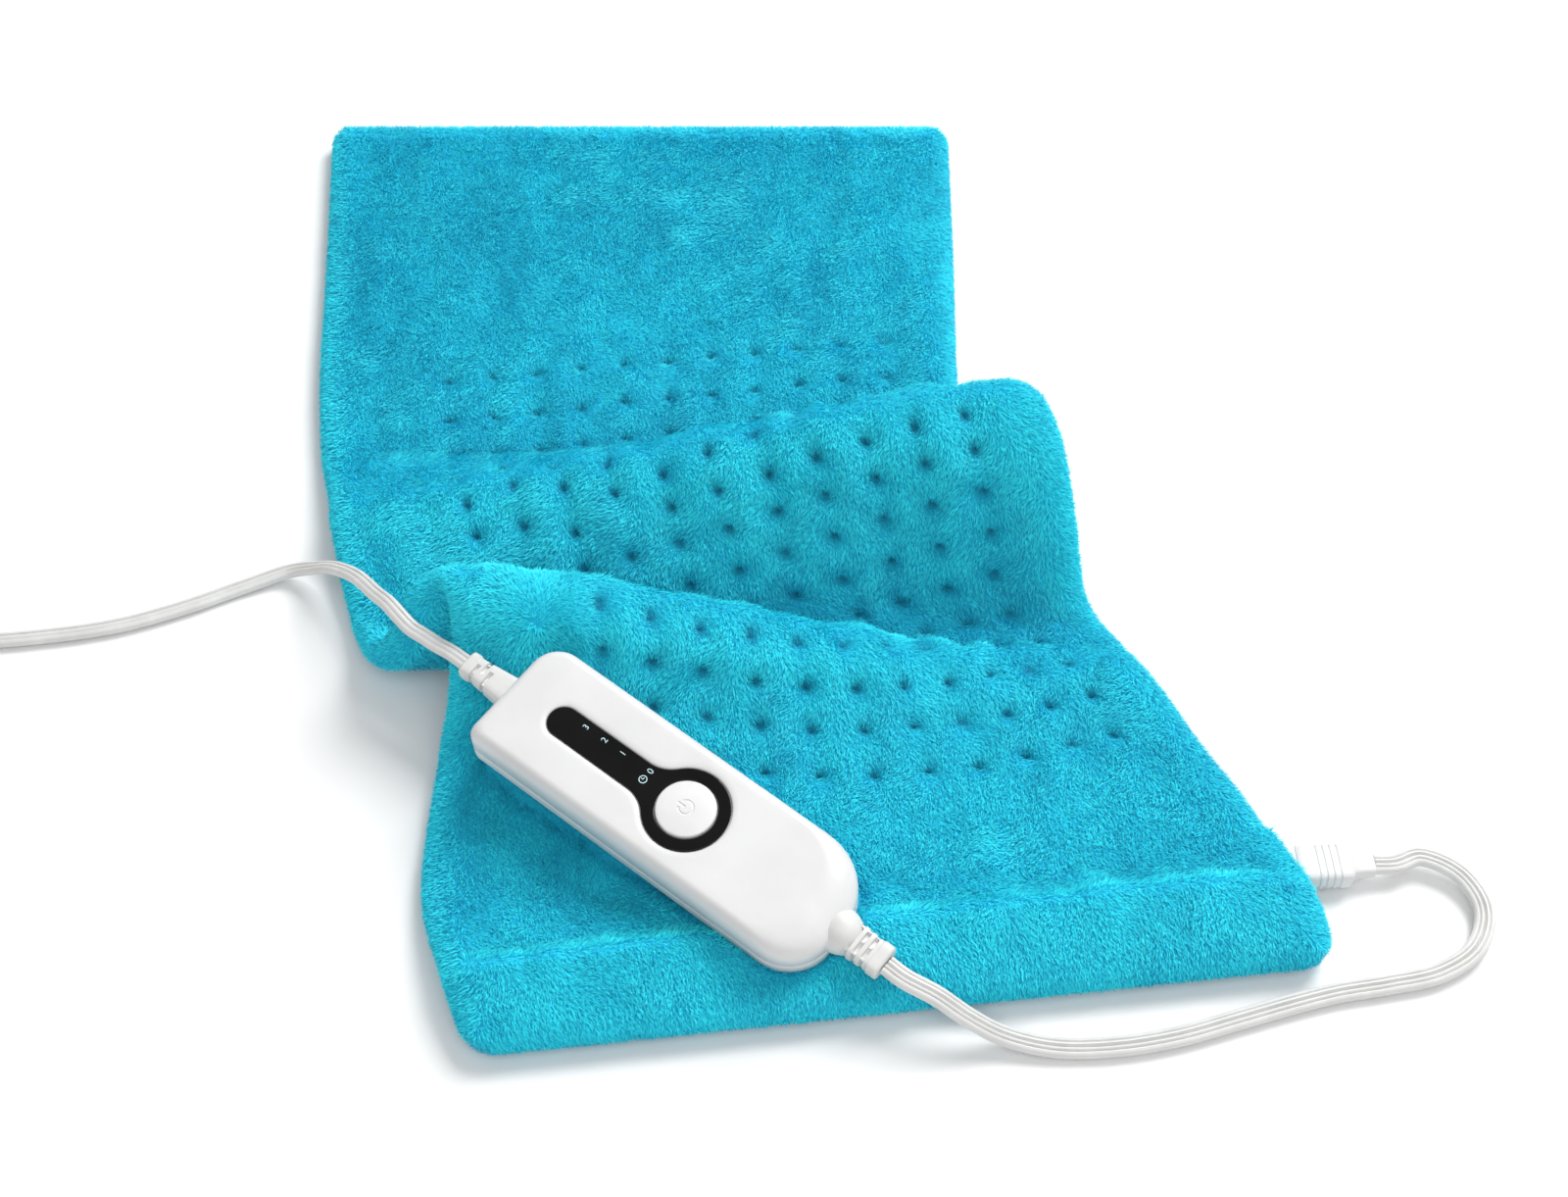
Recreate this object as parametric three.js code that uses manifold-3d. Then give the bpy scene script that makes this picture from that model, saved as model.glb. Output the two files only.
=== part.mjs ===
// A plush heating pad, laid out in two soft folds, with its hand controller lying on the front
// section. The mains cord leaves the controller to the left, towards a wound coil with its plug, and
// a second lead runs from the controller round the front corner to the socket in the pad's side.
// Lengths are millimetres, +Z is up, +X runs to the right along the pad's back edge and the pad
// runs forward from that edge along -Y.

import * as THREE from 'three';
import { mergeVertices } from 'three/addons/utils/BufferGeometryUtils.js';
import Module from 'manifold-3d';

const wasm = await Module();
wasm.setup();

// Fits and cuts
const touchGap = 0.3;
const cutOverrun = 2;

// Pad: plan size, thickness and the heights of its two folds
const padWidth = 305;
const padLength = 610;
const padThickness = 14;
const padFlatCut = 0.5;
const padCornerRadius = 15;
const rearFoldHeight = 74;
const frontFoldHeight = 48;
const hemRise = 4;
const rimRadius = 12;
const rimStep = 3;
const pocketInset = 20;

// Layers inside the pad, from below: the lower cover, the carrier, the wire and the upper cover
const carrierThickness = 1;
const wireDiameter = 2.4;
const coverSlack = 0.45;
const wirePitch = 36;
const wireTurnInset = 28;
const wireReturnInset = 42;
const wireCornerCut = 6;
const wireTerminalGap = 5;

// Tufts sewn through the upper cover
const tuftColumns = 11;
const tuftRows = 18;
const tuftPitchShare = 0.0675;
const tuftPitchAcross = padWidth * tuftPitchShare;
const tuftPitchAlong = 18.5;
const tuftFirstShare = 0.21;
const tuftFirstAcross = padWidth * tuftFirstShare;
const tuftFirstAlong = 170;
const tuftSkew = 13;
const tuftDepth = 3.2;

// Heat guards on the carrier
const thermostatWidth = 6.5;
const thermostatLength = 17;
const thermostatHeight = 1.9;
const thermalFuseWidth = 3;
const thermalFuseHeight = 1.8;
const thermalFuseLength = 12;

// Socket in the pad's side and the connector in it
const socketDepth = 22;
const socketWidth = 18;
const socketHeight = 9;
const socketWall = 1.6;
const socketStandOff = 1;
const tongueLength = 7;
const connectorLength = 20;
const connectorWidth = 16;
const connectorHeight = 9;
const connectorTail = 9;

// Controller housing
const caseLength = 155;
const caseWidth = 50;
const caseHeight = 20;
const seamHeight = 7.6;
const mainsEndRadius = 8;
const mainsCornerSteps = 3;
const leadEndRadius = 19;
const leadCornerSteps = 5;
const lidEdgeRadius = 6;
const baseEdgeRadius = 3;
const caseWall = 2;
const lidRoof = 3;
const caseFloor = 2;
const caseHeading = THREE.MathUtils.degToRad(-38.6);
const caseForwardTilt = THREE.MathUtils.degToRad(10.6);
const caseSideTilt = THREE.MathUtils.degToRad(1.4);
const caseCentreX = 31.1;
const caseCentreRun = 427;
const casePress = 3.2;
const screwInsetLong = 12;
const screwInsetWide = 9;
const bossRadius = 3.4;
const bossSides = 12;
const screwRadius = 1.3;
const screwSides = 8;
const screwHeadRadius = 2.6;
const screwHeadHeight = 1.5;
const screwSink = 0.4;
const screwTop = 14;

// Display panel and button
const panelEndX = -50.5;
const panelHalfWidth = 6.2;
const panelRingRadius = 16.3;
const panelFillet = 14;
const panelThickness = 0.8;
const panelSink = 0.4;
const panelRimWidth = 0.8;
const panelRimDepth = 0.3;
const buttonX = 7.5;
const buttonRadius = 11.2;
const buttonSides = 28;
const buttonClearance = 0.5;
const buttonRise = 0.5;
const buttonCrown = 0.9;
const buttonEdge = 0.7;
const buttonFlangeWidth = 2;
const buttonFlangeHeight = 1.2;
const buttonSkirtWall = 1.4;
const buttonRoof = 1.5;
const buttonStemRadius = 2.4;
const buttonTravel = 0.6;

// Circuit board and what stands on it
const boardEndClearance = 18.5;
const boardLength = caseLength - 2 * boardEndClearance;
const boardWidth = 36;
const boardThickness = 1.6;
const boardHeight = 5.4;
const postRadius = 2.5;
const postEndInset = 9;
const postX = boardLength / 2 - postEndInset;
const postY = 12;
const switchSize = 6.2;
const switchHeight = 3.4;
const plungerRadius = 1.7;
const plungerHeight = 3;
const plungerShow = 1.6;
const ledLength = 3;
const ledWidth = 1.8;
const ledHeight = 1.1;
const numberLedFirstX = -43;
const numberLedPitch = 9;
const timerLedX = -12;
const wellRadius = 1.7;
const wellSides = 8;
const guideWall = 1.5;
const chipLength = 9;
const chipWidth = 7;
const chipHeight = 1.6;
const chipX = 26;
const chipY = 8;
const triacLength = 10;
const triacWidth = 9.5;
const triacHeight = 4.4;
const triacX = 42;
const triacY = -11.5;
const filmLength = 13;
const filmWidth = 5.5;
const filmHeight = 8.4;
const filmX = 27;
const filmY = -12;
const canRadius = 3.2;
const canSides = 14;
const canHeight = 8;
const canX = -22;
const canY = -12;
const fuseRadius = 2.1;
const fuseSides = 10;
const fuseLength = 9;
const fuseX = -40;
const fuseY = 12;

// Strain reliefs
const reliefHeight = 9.2;
const reliefAxisHeight = 9.2;
const reliefNeckInset = 1;
const reliefFlangeThickness = 2;
const reliefFlangeLip = 1;
const mainsReliefLength = 22;
const mainsReliefRoot = 13;
const mainsReliefTip = 9.6;
const mainsReliefDroop = 0;
const leadReliefLength = 19;
const leadReliefRoot = 15;
const leadReliefTip = 12.4;
const leadReliefDroop = 1;
const reliefTipHeight = 6.8;
const reliefSlotWidth = 1.5;
const reliefSlotDepth = 1.4;
const reliefSlotPitch = 4;
const reliefFirstSlot = 4;
const reliefSlots = 3;

// Cords, inner wires, coil, tie and plug
const mainsWidth = 6.4;
const mainsThickness = 4;
const leadWidth = 7.6;
const leadThickness = 4.2;
const cordSides = 8;
const cordSteps = 30;
const cordStraight = 8;
const innerWireRadius = 0.9;
const innerWireLanding = 6;
const mainsWirePitch = 9;
const leadWirePitch = 3.4;
const coilMeanRadius = 36;
const coilTurns = 10.25;
const coilLayers = 4;
const coilPitch = 7;
const coilLayerPitch = 4.7;
const coilCentreX = -314;
const coilCentreRun = 284;
const coilTail = 24;
const coilTailDrop = 34;
const coilSteps = 24;
const coilSides = 6;
const tieWidth = 12;
const tieThickness = 1;
const tieSlack = 0.4;
const tieSideSlack = 1.1;
const plugLength = 26;
const plugWidth = 24;
const plugHeight = 14;
const plugShoulder = 4;
const plugTail = 14;
const plugTailTip = 8.4;
const plugTailWall = 1;
const plugSides = 12;
const plugTailRoot = 11;
const bladeLength = 17.5;
const bladeWidth = 6.3;
const bladeThickness = 1.5;
const bladeSpacing = 12.7;
const bladeRoot = 4;

const halfThickness = padThickness / 2;
const sheetRest = halfThickness - padFlatCut;

// Colours and finishes
function finish(color, roughness, metalness) {
  return new THREE.MeshStandardMaterial({ color, roughness, metalness });
}
const plush = finish(0x10aed6, 0.95, 0);
const carrierCloth = finish(0xe9e6dc, 0.9, 0);
const wireJacket = finish(0xd8d2c0, 0.6, 0);
const whitePlastic = finish(0xf4f4f4, 0.4, 0);
const whiteVinyl = finish(0xededec, 0.55, 0);
const blackGloss = finish(0x0c0c0e, 0.12, 0);
const boardGreen = finish(0x1f6b3a, 0.5, 0);
const blackResin = finish(0x1a1a1c, 0.5, 0);
const clearLens = finish(0xbfe9f5, 0.2, 0);
const filmYellow = finish(0xd9a520, 0.45, 0);
const steel = finish(0xb9bcc0, 0.3, 1);
const brass = finish(0xc9a95b, 0.28, 1);

const part = new THREE.Group();
const controller = new THREE.Group();
part.add(controller);

function addPiece(parent, name, geometry, material) {
  const piece = new THREE.Mesh(geometry, material);
  piece.name = name;
  parent.add(piece);
  return piece;
}

// Joining and cutting of closed meshes
function solidOf(geometry) {
  const bare = geometry.clone();
  bare.deleteAttribute('normal');
  bare.deleteAttribute('uv');
  const merged = mergeVertices(bare, 1e-4);
  return new wasm.Manifold(new wasm.Mesh({
    numProp: 3,
    vertProperties: Float32Array.from(merged.attributes.position.array),
    triVerts: Uint32Array.from(merged.index.array),
  }));
}

function geometryOf(solid) {
  const mesh = solid.getMesh();
  const geometry = new THREE.BufferGeometry();
  geometry.setAttribute('position', new THREE.BufferAttribute(mesh.vertProperties, 3));
  geometry.setIndex(new THREE.BufferAttribute(mesh.triVerts, 1));
  return geometry;
}

function closedGeometry(points, triangles) {
  const geometry = new THREE.BufferGeometry().setFromPoints(points);
  geometry.setIndex(triangles.flat());
  return geometry;
}

function boxGeometry(sizeX, sizeY, sizeZ, x, y, bottom) {
  return new THREE.BoxGeometry(sizeX, sizeY, sizeZ).translate(x, y, bottom + sizeZ / 2);
}

function boxSolid(sizeX, sizeY, sizeZ, x, y, bottom) {
  return solidOf(boxGeometry(sizeX, sizeY, sizeZ, x, y, bottom));
}

function rodGeometry(radius, height, x, y, bottom, sides) {
  return new THREE.CylinderGeometry(radius, radius, height, sides)
    .rotateX(Math.PI / 2).translate(x, y, bottom + height / 2);
}

function rodSolid(radius, height, x, y, bottom, sides) {
  return solidOf(rodGeometry(radius, height, x, y, bottom, sides));
}

// A skin over rings of equal point count, closed by a fan at each end. Rings run counterclockwise
// when seen from the last ring's side.
function loftGeometry(rings) {
  const size = rings[0].length;
  const triangles = [];
  for (let i = 0; i < rings.length - 1; i += 1) {
    for (let j = 0; j < size; j += 1) {
      const a = i * size + j;
      const b = i * size + (j + 1) % size;
      triangles.push([a, b, b + size], [a, b + size, a + size]);
    }
  }
  const last = (rings.length - 1) * size;
  for (let j = 1; j < size - 1; j += 1) {
    triangles.push([0, j + 1, j], [last, last + j, last + j + 1]);
  }
  return closedGeometry(rings.flat(), triangles);
}

// Points of an oval section that touches its full width and its full height
function ovalOutline(width, height, sides) {
  const angles = Array.from({ length: sides }, (_, k) => 2 * Math.PI * k / sides);
  const stretch = 1 / Math.max(...angles.map(Math.sin));
  return angles.map((angle) => [width / 2 * Math.cos(angle), height / 2 * Math.sin(angle) * stretch]);
}

// A tube of oval section along points, with the direction that its flat side faces
function sweepGeometry(path, up, width, height, sides) {
  const rings = path.map((point, i) => {
    const before = path[Math.max(0, i - 1)];
    const after = path[Math.min(path.length - 1, i + 1)];
    const tangent = after.clone().sub(before).normalize();
    const side = (Array.isArray(up) ? up[i] : up).clone().cross(tangent).normalize();
    const rise = tangent.clone().cross(side);
    return ovalOutline(width, height, sides).map(([across, upward]) => point.clone()
      .addScaledVector(side, across).addScaledVector(rise, upward));
  });
  return loftGeometry(rings);
}

// The sheet is drawn between its left and right edges. Each station gives both edges as shares: the
// place across in pad widths, the run from the back edge in pad lengths, and the rise in heights of
// the fold that the station belongs to.
const FLAT = 'flat';
const REAR = 'rear';
const FRONT = 'front';
const HEM = 'hem';
const stationShares = [
  [-0.498, 0.003, 0, 0.498, 0.003, 0, FLAT],
  [-0.466, 0.164, 0, 0.492, 0.159, 0, FLAT],
  [-0.44, 0.303, 0, 0.485, 0.298, 0, FLAT],
  [-0.416, 0.38, 0, 0.489, 0.387, 0.03, REAR],
  [-0.403, 0.405, 0.03, 0.511, 0.411, 0.46, REAR],
  [-0.393, 0.425, 0.05, 0.538, 0.423, 0.82, REAR],
  [-0.387, 0.443, 0.07, 0.567, 0.438, 1, REAR],
  [-0.377, 0.462, 0.05, 0.59, 0.462, 0.91, REAR],
  [-0.364, 0.487, 0.03, 0.613, 0.492, 0.53, REAR],
  [-0.348, 0.513, 0, 0.63, 0.515, 0.15, REAR],
  [-0.331, 0.539, 0, 0.652, 0.53, 0.04, FRONT],
  [-0.305, 0.564, 0.18, 0.672, 0.546, 0.02, FRONT],
  [-0.277, 0.565, 0.41, 0.685, 0.559, 0.04, FRONT],
  [-0.239, 0.556, 0.85, 0.698, 0.572, 0.08, FRONT],
  [-0.205, 0.562, 1, 0.711, 0.585, 0.1, FRONT],
  [-0.185, 0.574, 0.99, 0.731, 0.603, 0.08, FRONT],
  [-0.187, 0.605, 0.45, 0.761, 0.631, 0.02, FRONT],
  [-0.2, 0.643, 0.08, 0.8, 0.666, 0, FRONT],
  [-0.203, 0.741, 0, 0.849, 0.721, 0, FLAT],
  [-0.167, 0.802, 1, 0.872, 0.752, 1, HEM],
  [-0.128, 0.851, 0, 0.882, 0.79, 0, FLAT],
];
const rowsPerStation = [1, 1, 2, 2, 1, 1, 2, 1, 1, 1, 1, 2, 2, 2, 2, 2, 1, 2, 2];
const lastStation = stationShares.length - 1;
const frontFadeStartShare = 0.04;
const frontFadeShare = 0.84;

function smoothStep(t) {
  const held = THREE.MathUtils.clamp(t, 0, 1);
  return held * held * (3 - 2 * held);
}

// How far the rise has gone from the left edge's value to the right edge's
function riseFade(fold, across) {
  if (fold === REAR) return (across + smoothStep(across)) / 2;
  if (fold === FRONT) return smoothStep((across - frontFadeStartShare) / frontFadeShare);
  return across;
}

function stationPoint(index, across) {
  const [leftX, leftRun, leftRise, rightX, rightRun, rightRise, fold] = stationShares[index];
  const foldHeight = { flat: 0, rear: rearFoldHeight, front: frontFoldHeight, hem: hemRise }[fold];
  return new THREE.Vector3(
    padWidth * THREE.MathUtils.lerp(leftX, rightX, across),
    -padLength * THREE.MathUtils.lerp(leftRun, rightRun, across),
    sheetRest + foldHeight * THREE.MathUtils.lerp(leftRise, rightRise, riseFade(fold, across)),
  );
}

// A centripetal spline through the stations: across is 0 to 1, along counts stations
function sheetPoint(across, along) {
  const index = THREE.MathUtils.clamp(Math.floor(along), 0, lastStation - 1);
  const t = along - index;
  const p1 = stationPoint(index, across);
  const p2 = stationPoint(index + 1, across);
  const p0 = index > 0 ? stationPoint(index - 1, across) : p1.clone().multiplyScalar(2).sub(p2);
  const p3 = index < lastStation - 1 ? stationPoint(index + 2, across)
    : p2.clone().multiplyScalar(2).sub(p1);
  const d0 = Math.sqrt(p0.distanceTo(p1));
  const d1 = Math.sqrt(p1.distanceTo(p2));
  const d2 = Math.sqrt(p2.distanceTo(p3));
  const value = (a, b, c, d) => {
    const start = ((b - a) / d0 - (c - a) / (d0 + d1) + (c - b) / d1) * d1;
    const end = ((c - b) / d1 - (d - b) / (d1 + d2) + (d - c) / d2) * d1;
    return b + t * (start + t * (3 * (c - b) - 2 * start - end + t * (2 * (b - c) + start + end)));
  };
  return new THREE.Vector3(
    value(p0.x, p1.x, p2.x, p3.x),
    value(p0.y, p1.y, p2.y, p3.y),
    value(p0.z, p1.z, p2.z, p3.z),
  );
}

const slopeStep = 1e-3;

function sheetNormal(across, along) {
  const before = Math.max(0, along - slopeStep);
  const after = Math.min(lastStation, along + slopeStep);
  const forward = sheetPoint(across, after).sub(sheetPoint(across, before));
  const sideways = sheetPoint(across + slopeStep, along).sub(sheetPoint(across - slopeStep, along));
  return forward.cross(sideways).normalize();
}

function sheetOffset(across, along, level) {
  return sheetPoint(across, along).addScaledVector(sheetNormal(across, along), level);
}

// Distance along the sheet from the back edge, measured at one place across
const runSamples = 24;

function runTable(across) {
  const run = [0];
  let last = sheetPoint(across, 0);
  for (let k = 1; k <= lastStation * runSamples; k += 1) {
    const next = sheetPoint(across, k / runSamples);
    run.push(run[k - 1] + next.distanceTo(last));
    last = next;
  }
  return run;
}

function stationAtRun(run, distance) {
  let k = 1;
  while (k < run.length - 1 && run[k] < distance) k += 1;
  return (k - 1 + (distance - run[k - 1]) / (run[k] - run[k - 1])) / runSamples;
}

const leftRun = runTable(0);
const middleRun = runTable(1 / 2);
const rightRun = runTable(1);
const leftLength = leftRun[leftRun.length - 1];
const middleLength = middleRun[middleRun.length - 1];
const rightLength = rightRun[rightRun.length - 1];
console.log('pad edge lengths', leftLength.toFixed(1), rightLength.toFixed(1));

// Rows across the sheet, each a station number with its distance from the nearer end, and columns
// along it, each a share of the width with its distance from the nearer side
const rimDistances = [0, rimStep, rimRadius, pocketInset];

function endRows(distances) {
  const back = distances.map((edge) => ({ along: stationAtRun(middleRun, edge), edge }));
  const front = distances.map((edge) => (
    { along: stationAtRun(middleRun, middleLength - edge), edge })).reverse();
  return [back, front];
}

const fieldRows = [];
rowsPerStation.forEach((count, k) => {
  for (let j = 0; j < count; j += 1) fieldRows.push({ along: k + j / count, edge: padThickness * 2 });
});
fieldRows.push({ along: rowsPerStation.length, edge: padThickness * 2 });
fieldRows.shift();
const [backRim, frontRim] = endRows(rimDistances);
const rows = [...backRim, ...fieldRows, ...frontRim];

function columnsAt(distances) {
  return distances.map((x) => ({ across: x / padWidth, edge: Math.min(x, padWidth - x) }));
}

function mirrored(distances) {
  return distances.map((x) => padWidth - x).reverse();
}

const tuftLines = Array.from({ length: tuftColumns + 1 },
  (_, k) => tuftFirstAcross + (k - 1 / 2) * tuftPitchAcross);
const sideRims = [0, rimStep, rimRadius];
const outerColumns = columnsAt([...sideRims, ...tuftLines, ...mirrored(sideRims)]);
const innerSpans = 3;
const innerLines = Array.from({ length: innerSpans + 1 }, (_, k) => wireTurnInset
  + (padWidth - wireTurnInset - wireReturnInset) * k / innerSpans);
innerLines.push(padWidth - wireTurnInset);
const innerColumns = columnsAt([0, pocketInset, ...innerLines, ...mirrored([0, pocketInset])]);

// The plan corners are rounded by drawing the corner squares in to a quarter circle
function roundedPlace(column, row) {
  const fromSide = 1 - column.edge / padCornerRadius;
  const fromEnd = 1 - row.edge / padCornerRadius;
  if (fromSide <= 0 || fromEnd <= 0) return [column.across, row.along];
  const sideways = padCornerRadius * fromSide * (1 - Math.sqrt(1 - fromEnd * fromEnd / 2));
  const endways = padCornerRadius * fromEnd * (1 - Math.sqrt(1 - fromSide * fromSide / 2));
  const onLeft = column.across < 1 / 2;
  const run = onLeft ? leftRun : rightRun;
  const reach = row.edge + endways;
  const atBack = row.along < lastStation / 2;
  return [
    column.across + (onLeft ? sideways : -sideways) / padWidth,
    stationAtRun(run, atBack ? reach : run[run.length - 1] - reach),
  ];
}

// Triangles between two rows of numbered points, walked along together by their place across
function stripTriangles(near, far, upward) {
  const triangles = [];
  let i = 0;
  let j = 0;
  while (i < near.length - 1 || j < far.length - 1) {
    const nearNext = i < near.length - 1 ? near[i].across + near[i + 1].across : Infinity;
    const farNext = j < far.length - 1 ? far[j].across + far[j + 1].across : Infinity;
    const next = nearNext <= farNext ? near[i + 1] : far[j + 1];
    const triangle = [near[i].id, far[j].id, next.id];
    if (nearNext <= farNext) i += 1;
    else j += 1;
    if (new Set(triangle).size === 3) triangles.push(upward ? triangle : triangle.reverse());
  }
  return triangles;
}

function holds([a, b, c], place) {
  const side = (p, q) => (q.x - p.x) * (place.y - p.y) - (q.y - p.y) * (place.x - p.x);
  const sides = [side(a, b), side(b, c), side(c, a)];
  return sides.every((value) => value >= 0) || sides.every((value) => value <= 0);
}

// A closed solid between two faces of the sheet that share their outer edge. Each tuft draws a
// point of the upper face in.
function quiltGeometry(sheetRows, upperColumns, lowerColumns, upperLevel, lowerLevel, tufts) {
  const points = [];
  const places = [];
  const addPoint = (across, along, level) => {
    const point = sheetOffset(across, along, level);
    point.z = Math.max(0, point.z);
    places.push(new THREE.Vector2(across, along));
    points.push(point);
    return points.length - 1;
  };
  const addRow = (row, columns, level) => columns.map((column) => {
    const [across, along] = roundedPlace(column, row);
    return { across: column.across, id: addPoint(across, along, level(column, row)) };
  });
  const lastRow = sheetRows.length - 1;
  const upper = sheetRows.map((row) => addRow(row, upperColumns, upperLevel));
  const triangles = [];
  for (let i = 0; i < lastRow; i += 1) triangles.push(...stripTriangles(upper[i], upper[i + 1], true));
  for (const tuft of tufts) {
    const place = new THREE.Vector2(tuft.across, tuft.along);
    const holder = triangles.findIndex((triangle) => holds(triangle.map((id) => places[id]), place));
    const [a, b, c] = triangles[holder];
    const id = addPoint(tuft.across, tuft.along, tuft.level);
    triangles.splice(holder, 1, [a, b, id], [b, c, id], [c, a, id]);
  }
  const lower = sheetRows.map((row, i) => {
    if (i === 0 || i === lastRow) return upper[i];
    const between = addRow(row, lowerColumns.slice(1, -1), lowerLevel);
    return [upper[i][0], ...between, upper[i][upper[i].length - 1]];
  });
  for (let i = 0; i < lastRow; i += 1) triangles.push(...stripTriangles(lower[i], lower[i + 1], false));
  return closedGeometry(points, triangles);
}

// Levels of the layers, from the sheet's middle. The covers' rims close on each other.
const seamLevel = touchGap / 2;
const layerStack = carrierThickness + wireDiameter + 3 * coverSlack;
const lowerCoverInside = -layerStack / 2;
const carrierBottom = lowerCoverInside + coverSlack;
const carrierTop = carrierBottom + carrierThickness;
const wireLevel = carrierTop + coverSlack + wireDiameter / 2;
const upperCoverInside = layerStack / 2;

function rimLevel(column, row) {
  const drop = 1 - Math.min(rimRadius, column.edge, row.edge) / rimRadius;
  return seamLevel + (halfThickness - seamLevel) * Math.sqrt(1 - drop * drop);
}

function pocketLevel(column, row, inside, rim) {
  return Math.min(column.edge, row.edge) < pocketInset ? rim : inside;
}

function tuftPlaces() {
  const places = [];
  for (let r = 0; r < tuftRows; r += 1) {
    const distance = tuftFirstAlong + tuftPitchAlong * r;
    const leftAlong = stationAtRun(leftRun, distance + tuftSkew);
    const rightAlong = stationAtRun(rightRun, distance - tuftSkew);
    for (let c = 0; c < tuftColumns; c += 1) {
      const across = (tuftFirstAcross + tuftPitchAcross * c) / padWidth;
      const along = THREE.MathUtils.lerp(leftAlong, rightAlong, across);
      places.push({ across, along, level: halfThickness - tuftDepth });
    }
  }
  return places;
}

// The lower cover's faces meet half a gap below the middle, the upper cover's half a gap above it
const lowerOuterColumns = columnsAt([...sideRims, ...innerLines, ...mirrored(sideRims)]);
let upperCover = solidOf(quiltGeometry(rows, outerColumns, innerColumns, rimLevel,
  (column, row) => pocketLevel(column, row, upperCoverInside, seamLevel), tuftPlaces()));
let lowerCover = solidOf(quiltGeometry(rows, innerColumns, lowerOuterColumns,
  (column, row) => pocketLevel(column, row, lowerCoverInside, -seamLevel),
  (column, row) => -rimLevel(column, row), []));

// The carrier sheet lies in the pocket between the covers, on the same rows and columns
const [[carrierBack], [carrierFront]] = endRows([pocketInset]);
const carrierField = fieldRows.filter((row) => row.along > carrierBack.along
  && row.along < carrierFront.along);
const carrierRows = [carrierBack, ...carrierField, carrierFront];
const carrierColumns = columnsAt([pocketInset, ...innerLines, padWidth - pocketInset]);
const carrierMiddle = (carrierTop + carrierBottom) / 2;
const carrierLevel = (face) => (column, row) => (
  Math.min(column.edge, row.edge) < pocketInset + slopeStep ? carrierMiddle : face);
const carrier = solidOf(quiltGeometry(carrierRows, carrierColumns, carrierColumns,
  carrierLevel(carrierTop), carrierLevel(carrierBottom), []));

// The socket lies between the covers at the right edge, where the sheet is flat
const socketStation = stationShares.findLastIndex((station) => station[6] === FLAT
  && station !== stationShares[lastStation]);
const socketAxis = sheetPoint(1, socketStation).sub(sheetPoint(0, socketStation)).normalize();
const socketSeat = new THREE.Matrix4().makeBasis(
  socketAxis,
  new THREE.Vector3(0, 0, 1).cross(socketAxis).normalize(),
  new THREE.Vector3(0, 0, 1),
).setPosition(sheetPoint(1, socketStation));
const socketMiddle = socketStandOff - socketDepth / 2;
const pocketDepth = socketDepth + touchGap + connectorTail;
const socketPocket = solidOf(boxGeometry(pocketDepth, socketWidth + 2 * touchGap,
  socketHeight + 2 * touchGap, socketStandOff + connectorTail - pocketDepth / 2, 0,
  -socketHeight / 2 - touchGap).applyMatrix4(socketSeat));
upperCover = upperCover.subtract(socketPocket);
lowerCover = lowerCover.subtract(socketPocket);
addPiece(part, 'heater_carrier_sheet', geometryOf(carrier.subtract(socketPocket)), carrierCloth);
const holeDepth = tongueLength + touchGap;
const socketHole = boxSolid(holeDepth + cutOverrun, socketWidth - 2 * socketWall,
  socketHeight - 2 * socketWall, socketStandOff + (cutOverrun - holeDepth) / 2, 0,
  socketWall - socketHeight / 2);
addPiece(part, 'pad_connector_socket', geometryOf(boxSolid(socketDepth, socketWidth, socketHeight,
  socketMiddle, 0, -socketHeight / 2).subtract(socketHole)).applyMatrix4(socketSeat), whitePlastic);

function ovalRing(x, width, height, sides) {
  return ovalOutline(width, height, sides).map(([across, rise]) => new THREE.Vector3(x, across, rise));
}

const connectorStart = socketStandOff + touchGap;
const connectorBack = connectorStart + connectorLength;
const connectorEnd = connectorBack + connectorTail;
const tongueReach = connectorStart - tongueLength;
const tongue = boxSolid(tongueLength + socketWall, socketWidth - 2 * (socketWall + touchGap),
  socketHeight - 2 * (socketWall + touchGap), tongueReach + (tongueLength + socketWall) / 2,
  0, socketWall + touchGap - socketHeight / 2);
const connectorBody = solidOf(loftGeometry([
  ovalRing(connectorStart, connectorWidth, connectorHeight, 12),
  ovalRing(connectorBack - socketWall, connectorWidth, connectorHeight, 12),
  ovalRing(connectorBack, connectorWidth - socketWall, connectorHeight - socketWall, 12),
  ovalRing(connectorEnd, leadWidth + socketWall, leadThickness + socketWall, 12),
]));
addPiece(part, 'pad_lead_connector', geometryOf(connectorBody.add(tongue)).applyMatrix4(socketSeat),
  whitePlastic);

// The heating wire leaves the socket for the front, goes back and forth up to the back edge and
// returns along the right side
const rowRun = (along) => middleRun[Math.round(along * runSamples)];
const wireRows = [];
for (const row of [...carrierField].reverse()) {
  const last = wireRows[wireRows.length - 1];
  if (last === undefined || rowRun(last) - rowRun(row.along) >= wirePitch) wireRows.push(row.along);
}
if (wireRows.length % 2 === 0) wireRows.pop();
const wireLeft = wireTurnInset / padWidth;
const wireRight = 1 - wireReturnInset / padWidth;
const wireReturn = 1 - wireTurnInset / padWidth;
const wireEnd = 1 - (socketDepth - socketStandOff + 3 * touchGap) / padWidth;
const socketRunPlace = rightRun[socketStation * runSamples];
const wireOut = stationAtRun(rightRun, socketRunPlace + wireTerminalGap);
const wireBack = stationAtRun(rightRun, socketRunPlace - wireTerminalGap);
const wireTurns = [[wireEnd, wireOut], [wireRight, wireOut]];
wireRows.forEach((along, i) => {
  const ends = i % 2 === 0 ? [wireRight, wireLeft] : [wireLeft, wireRight];
  wireTurns.push([ends[0], along], [ends[1], along]);
});
wireTurns.pop();
wireTurns.push([wireLeft, stationAtRun(middleRun, wireTurnInset)]);
wireTurns.push([wireReturn, stationAtRun(middleRun, wireTurnInset)]);
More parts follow.
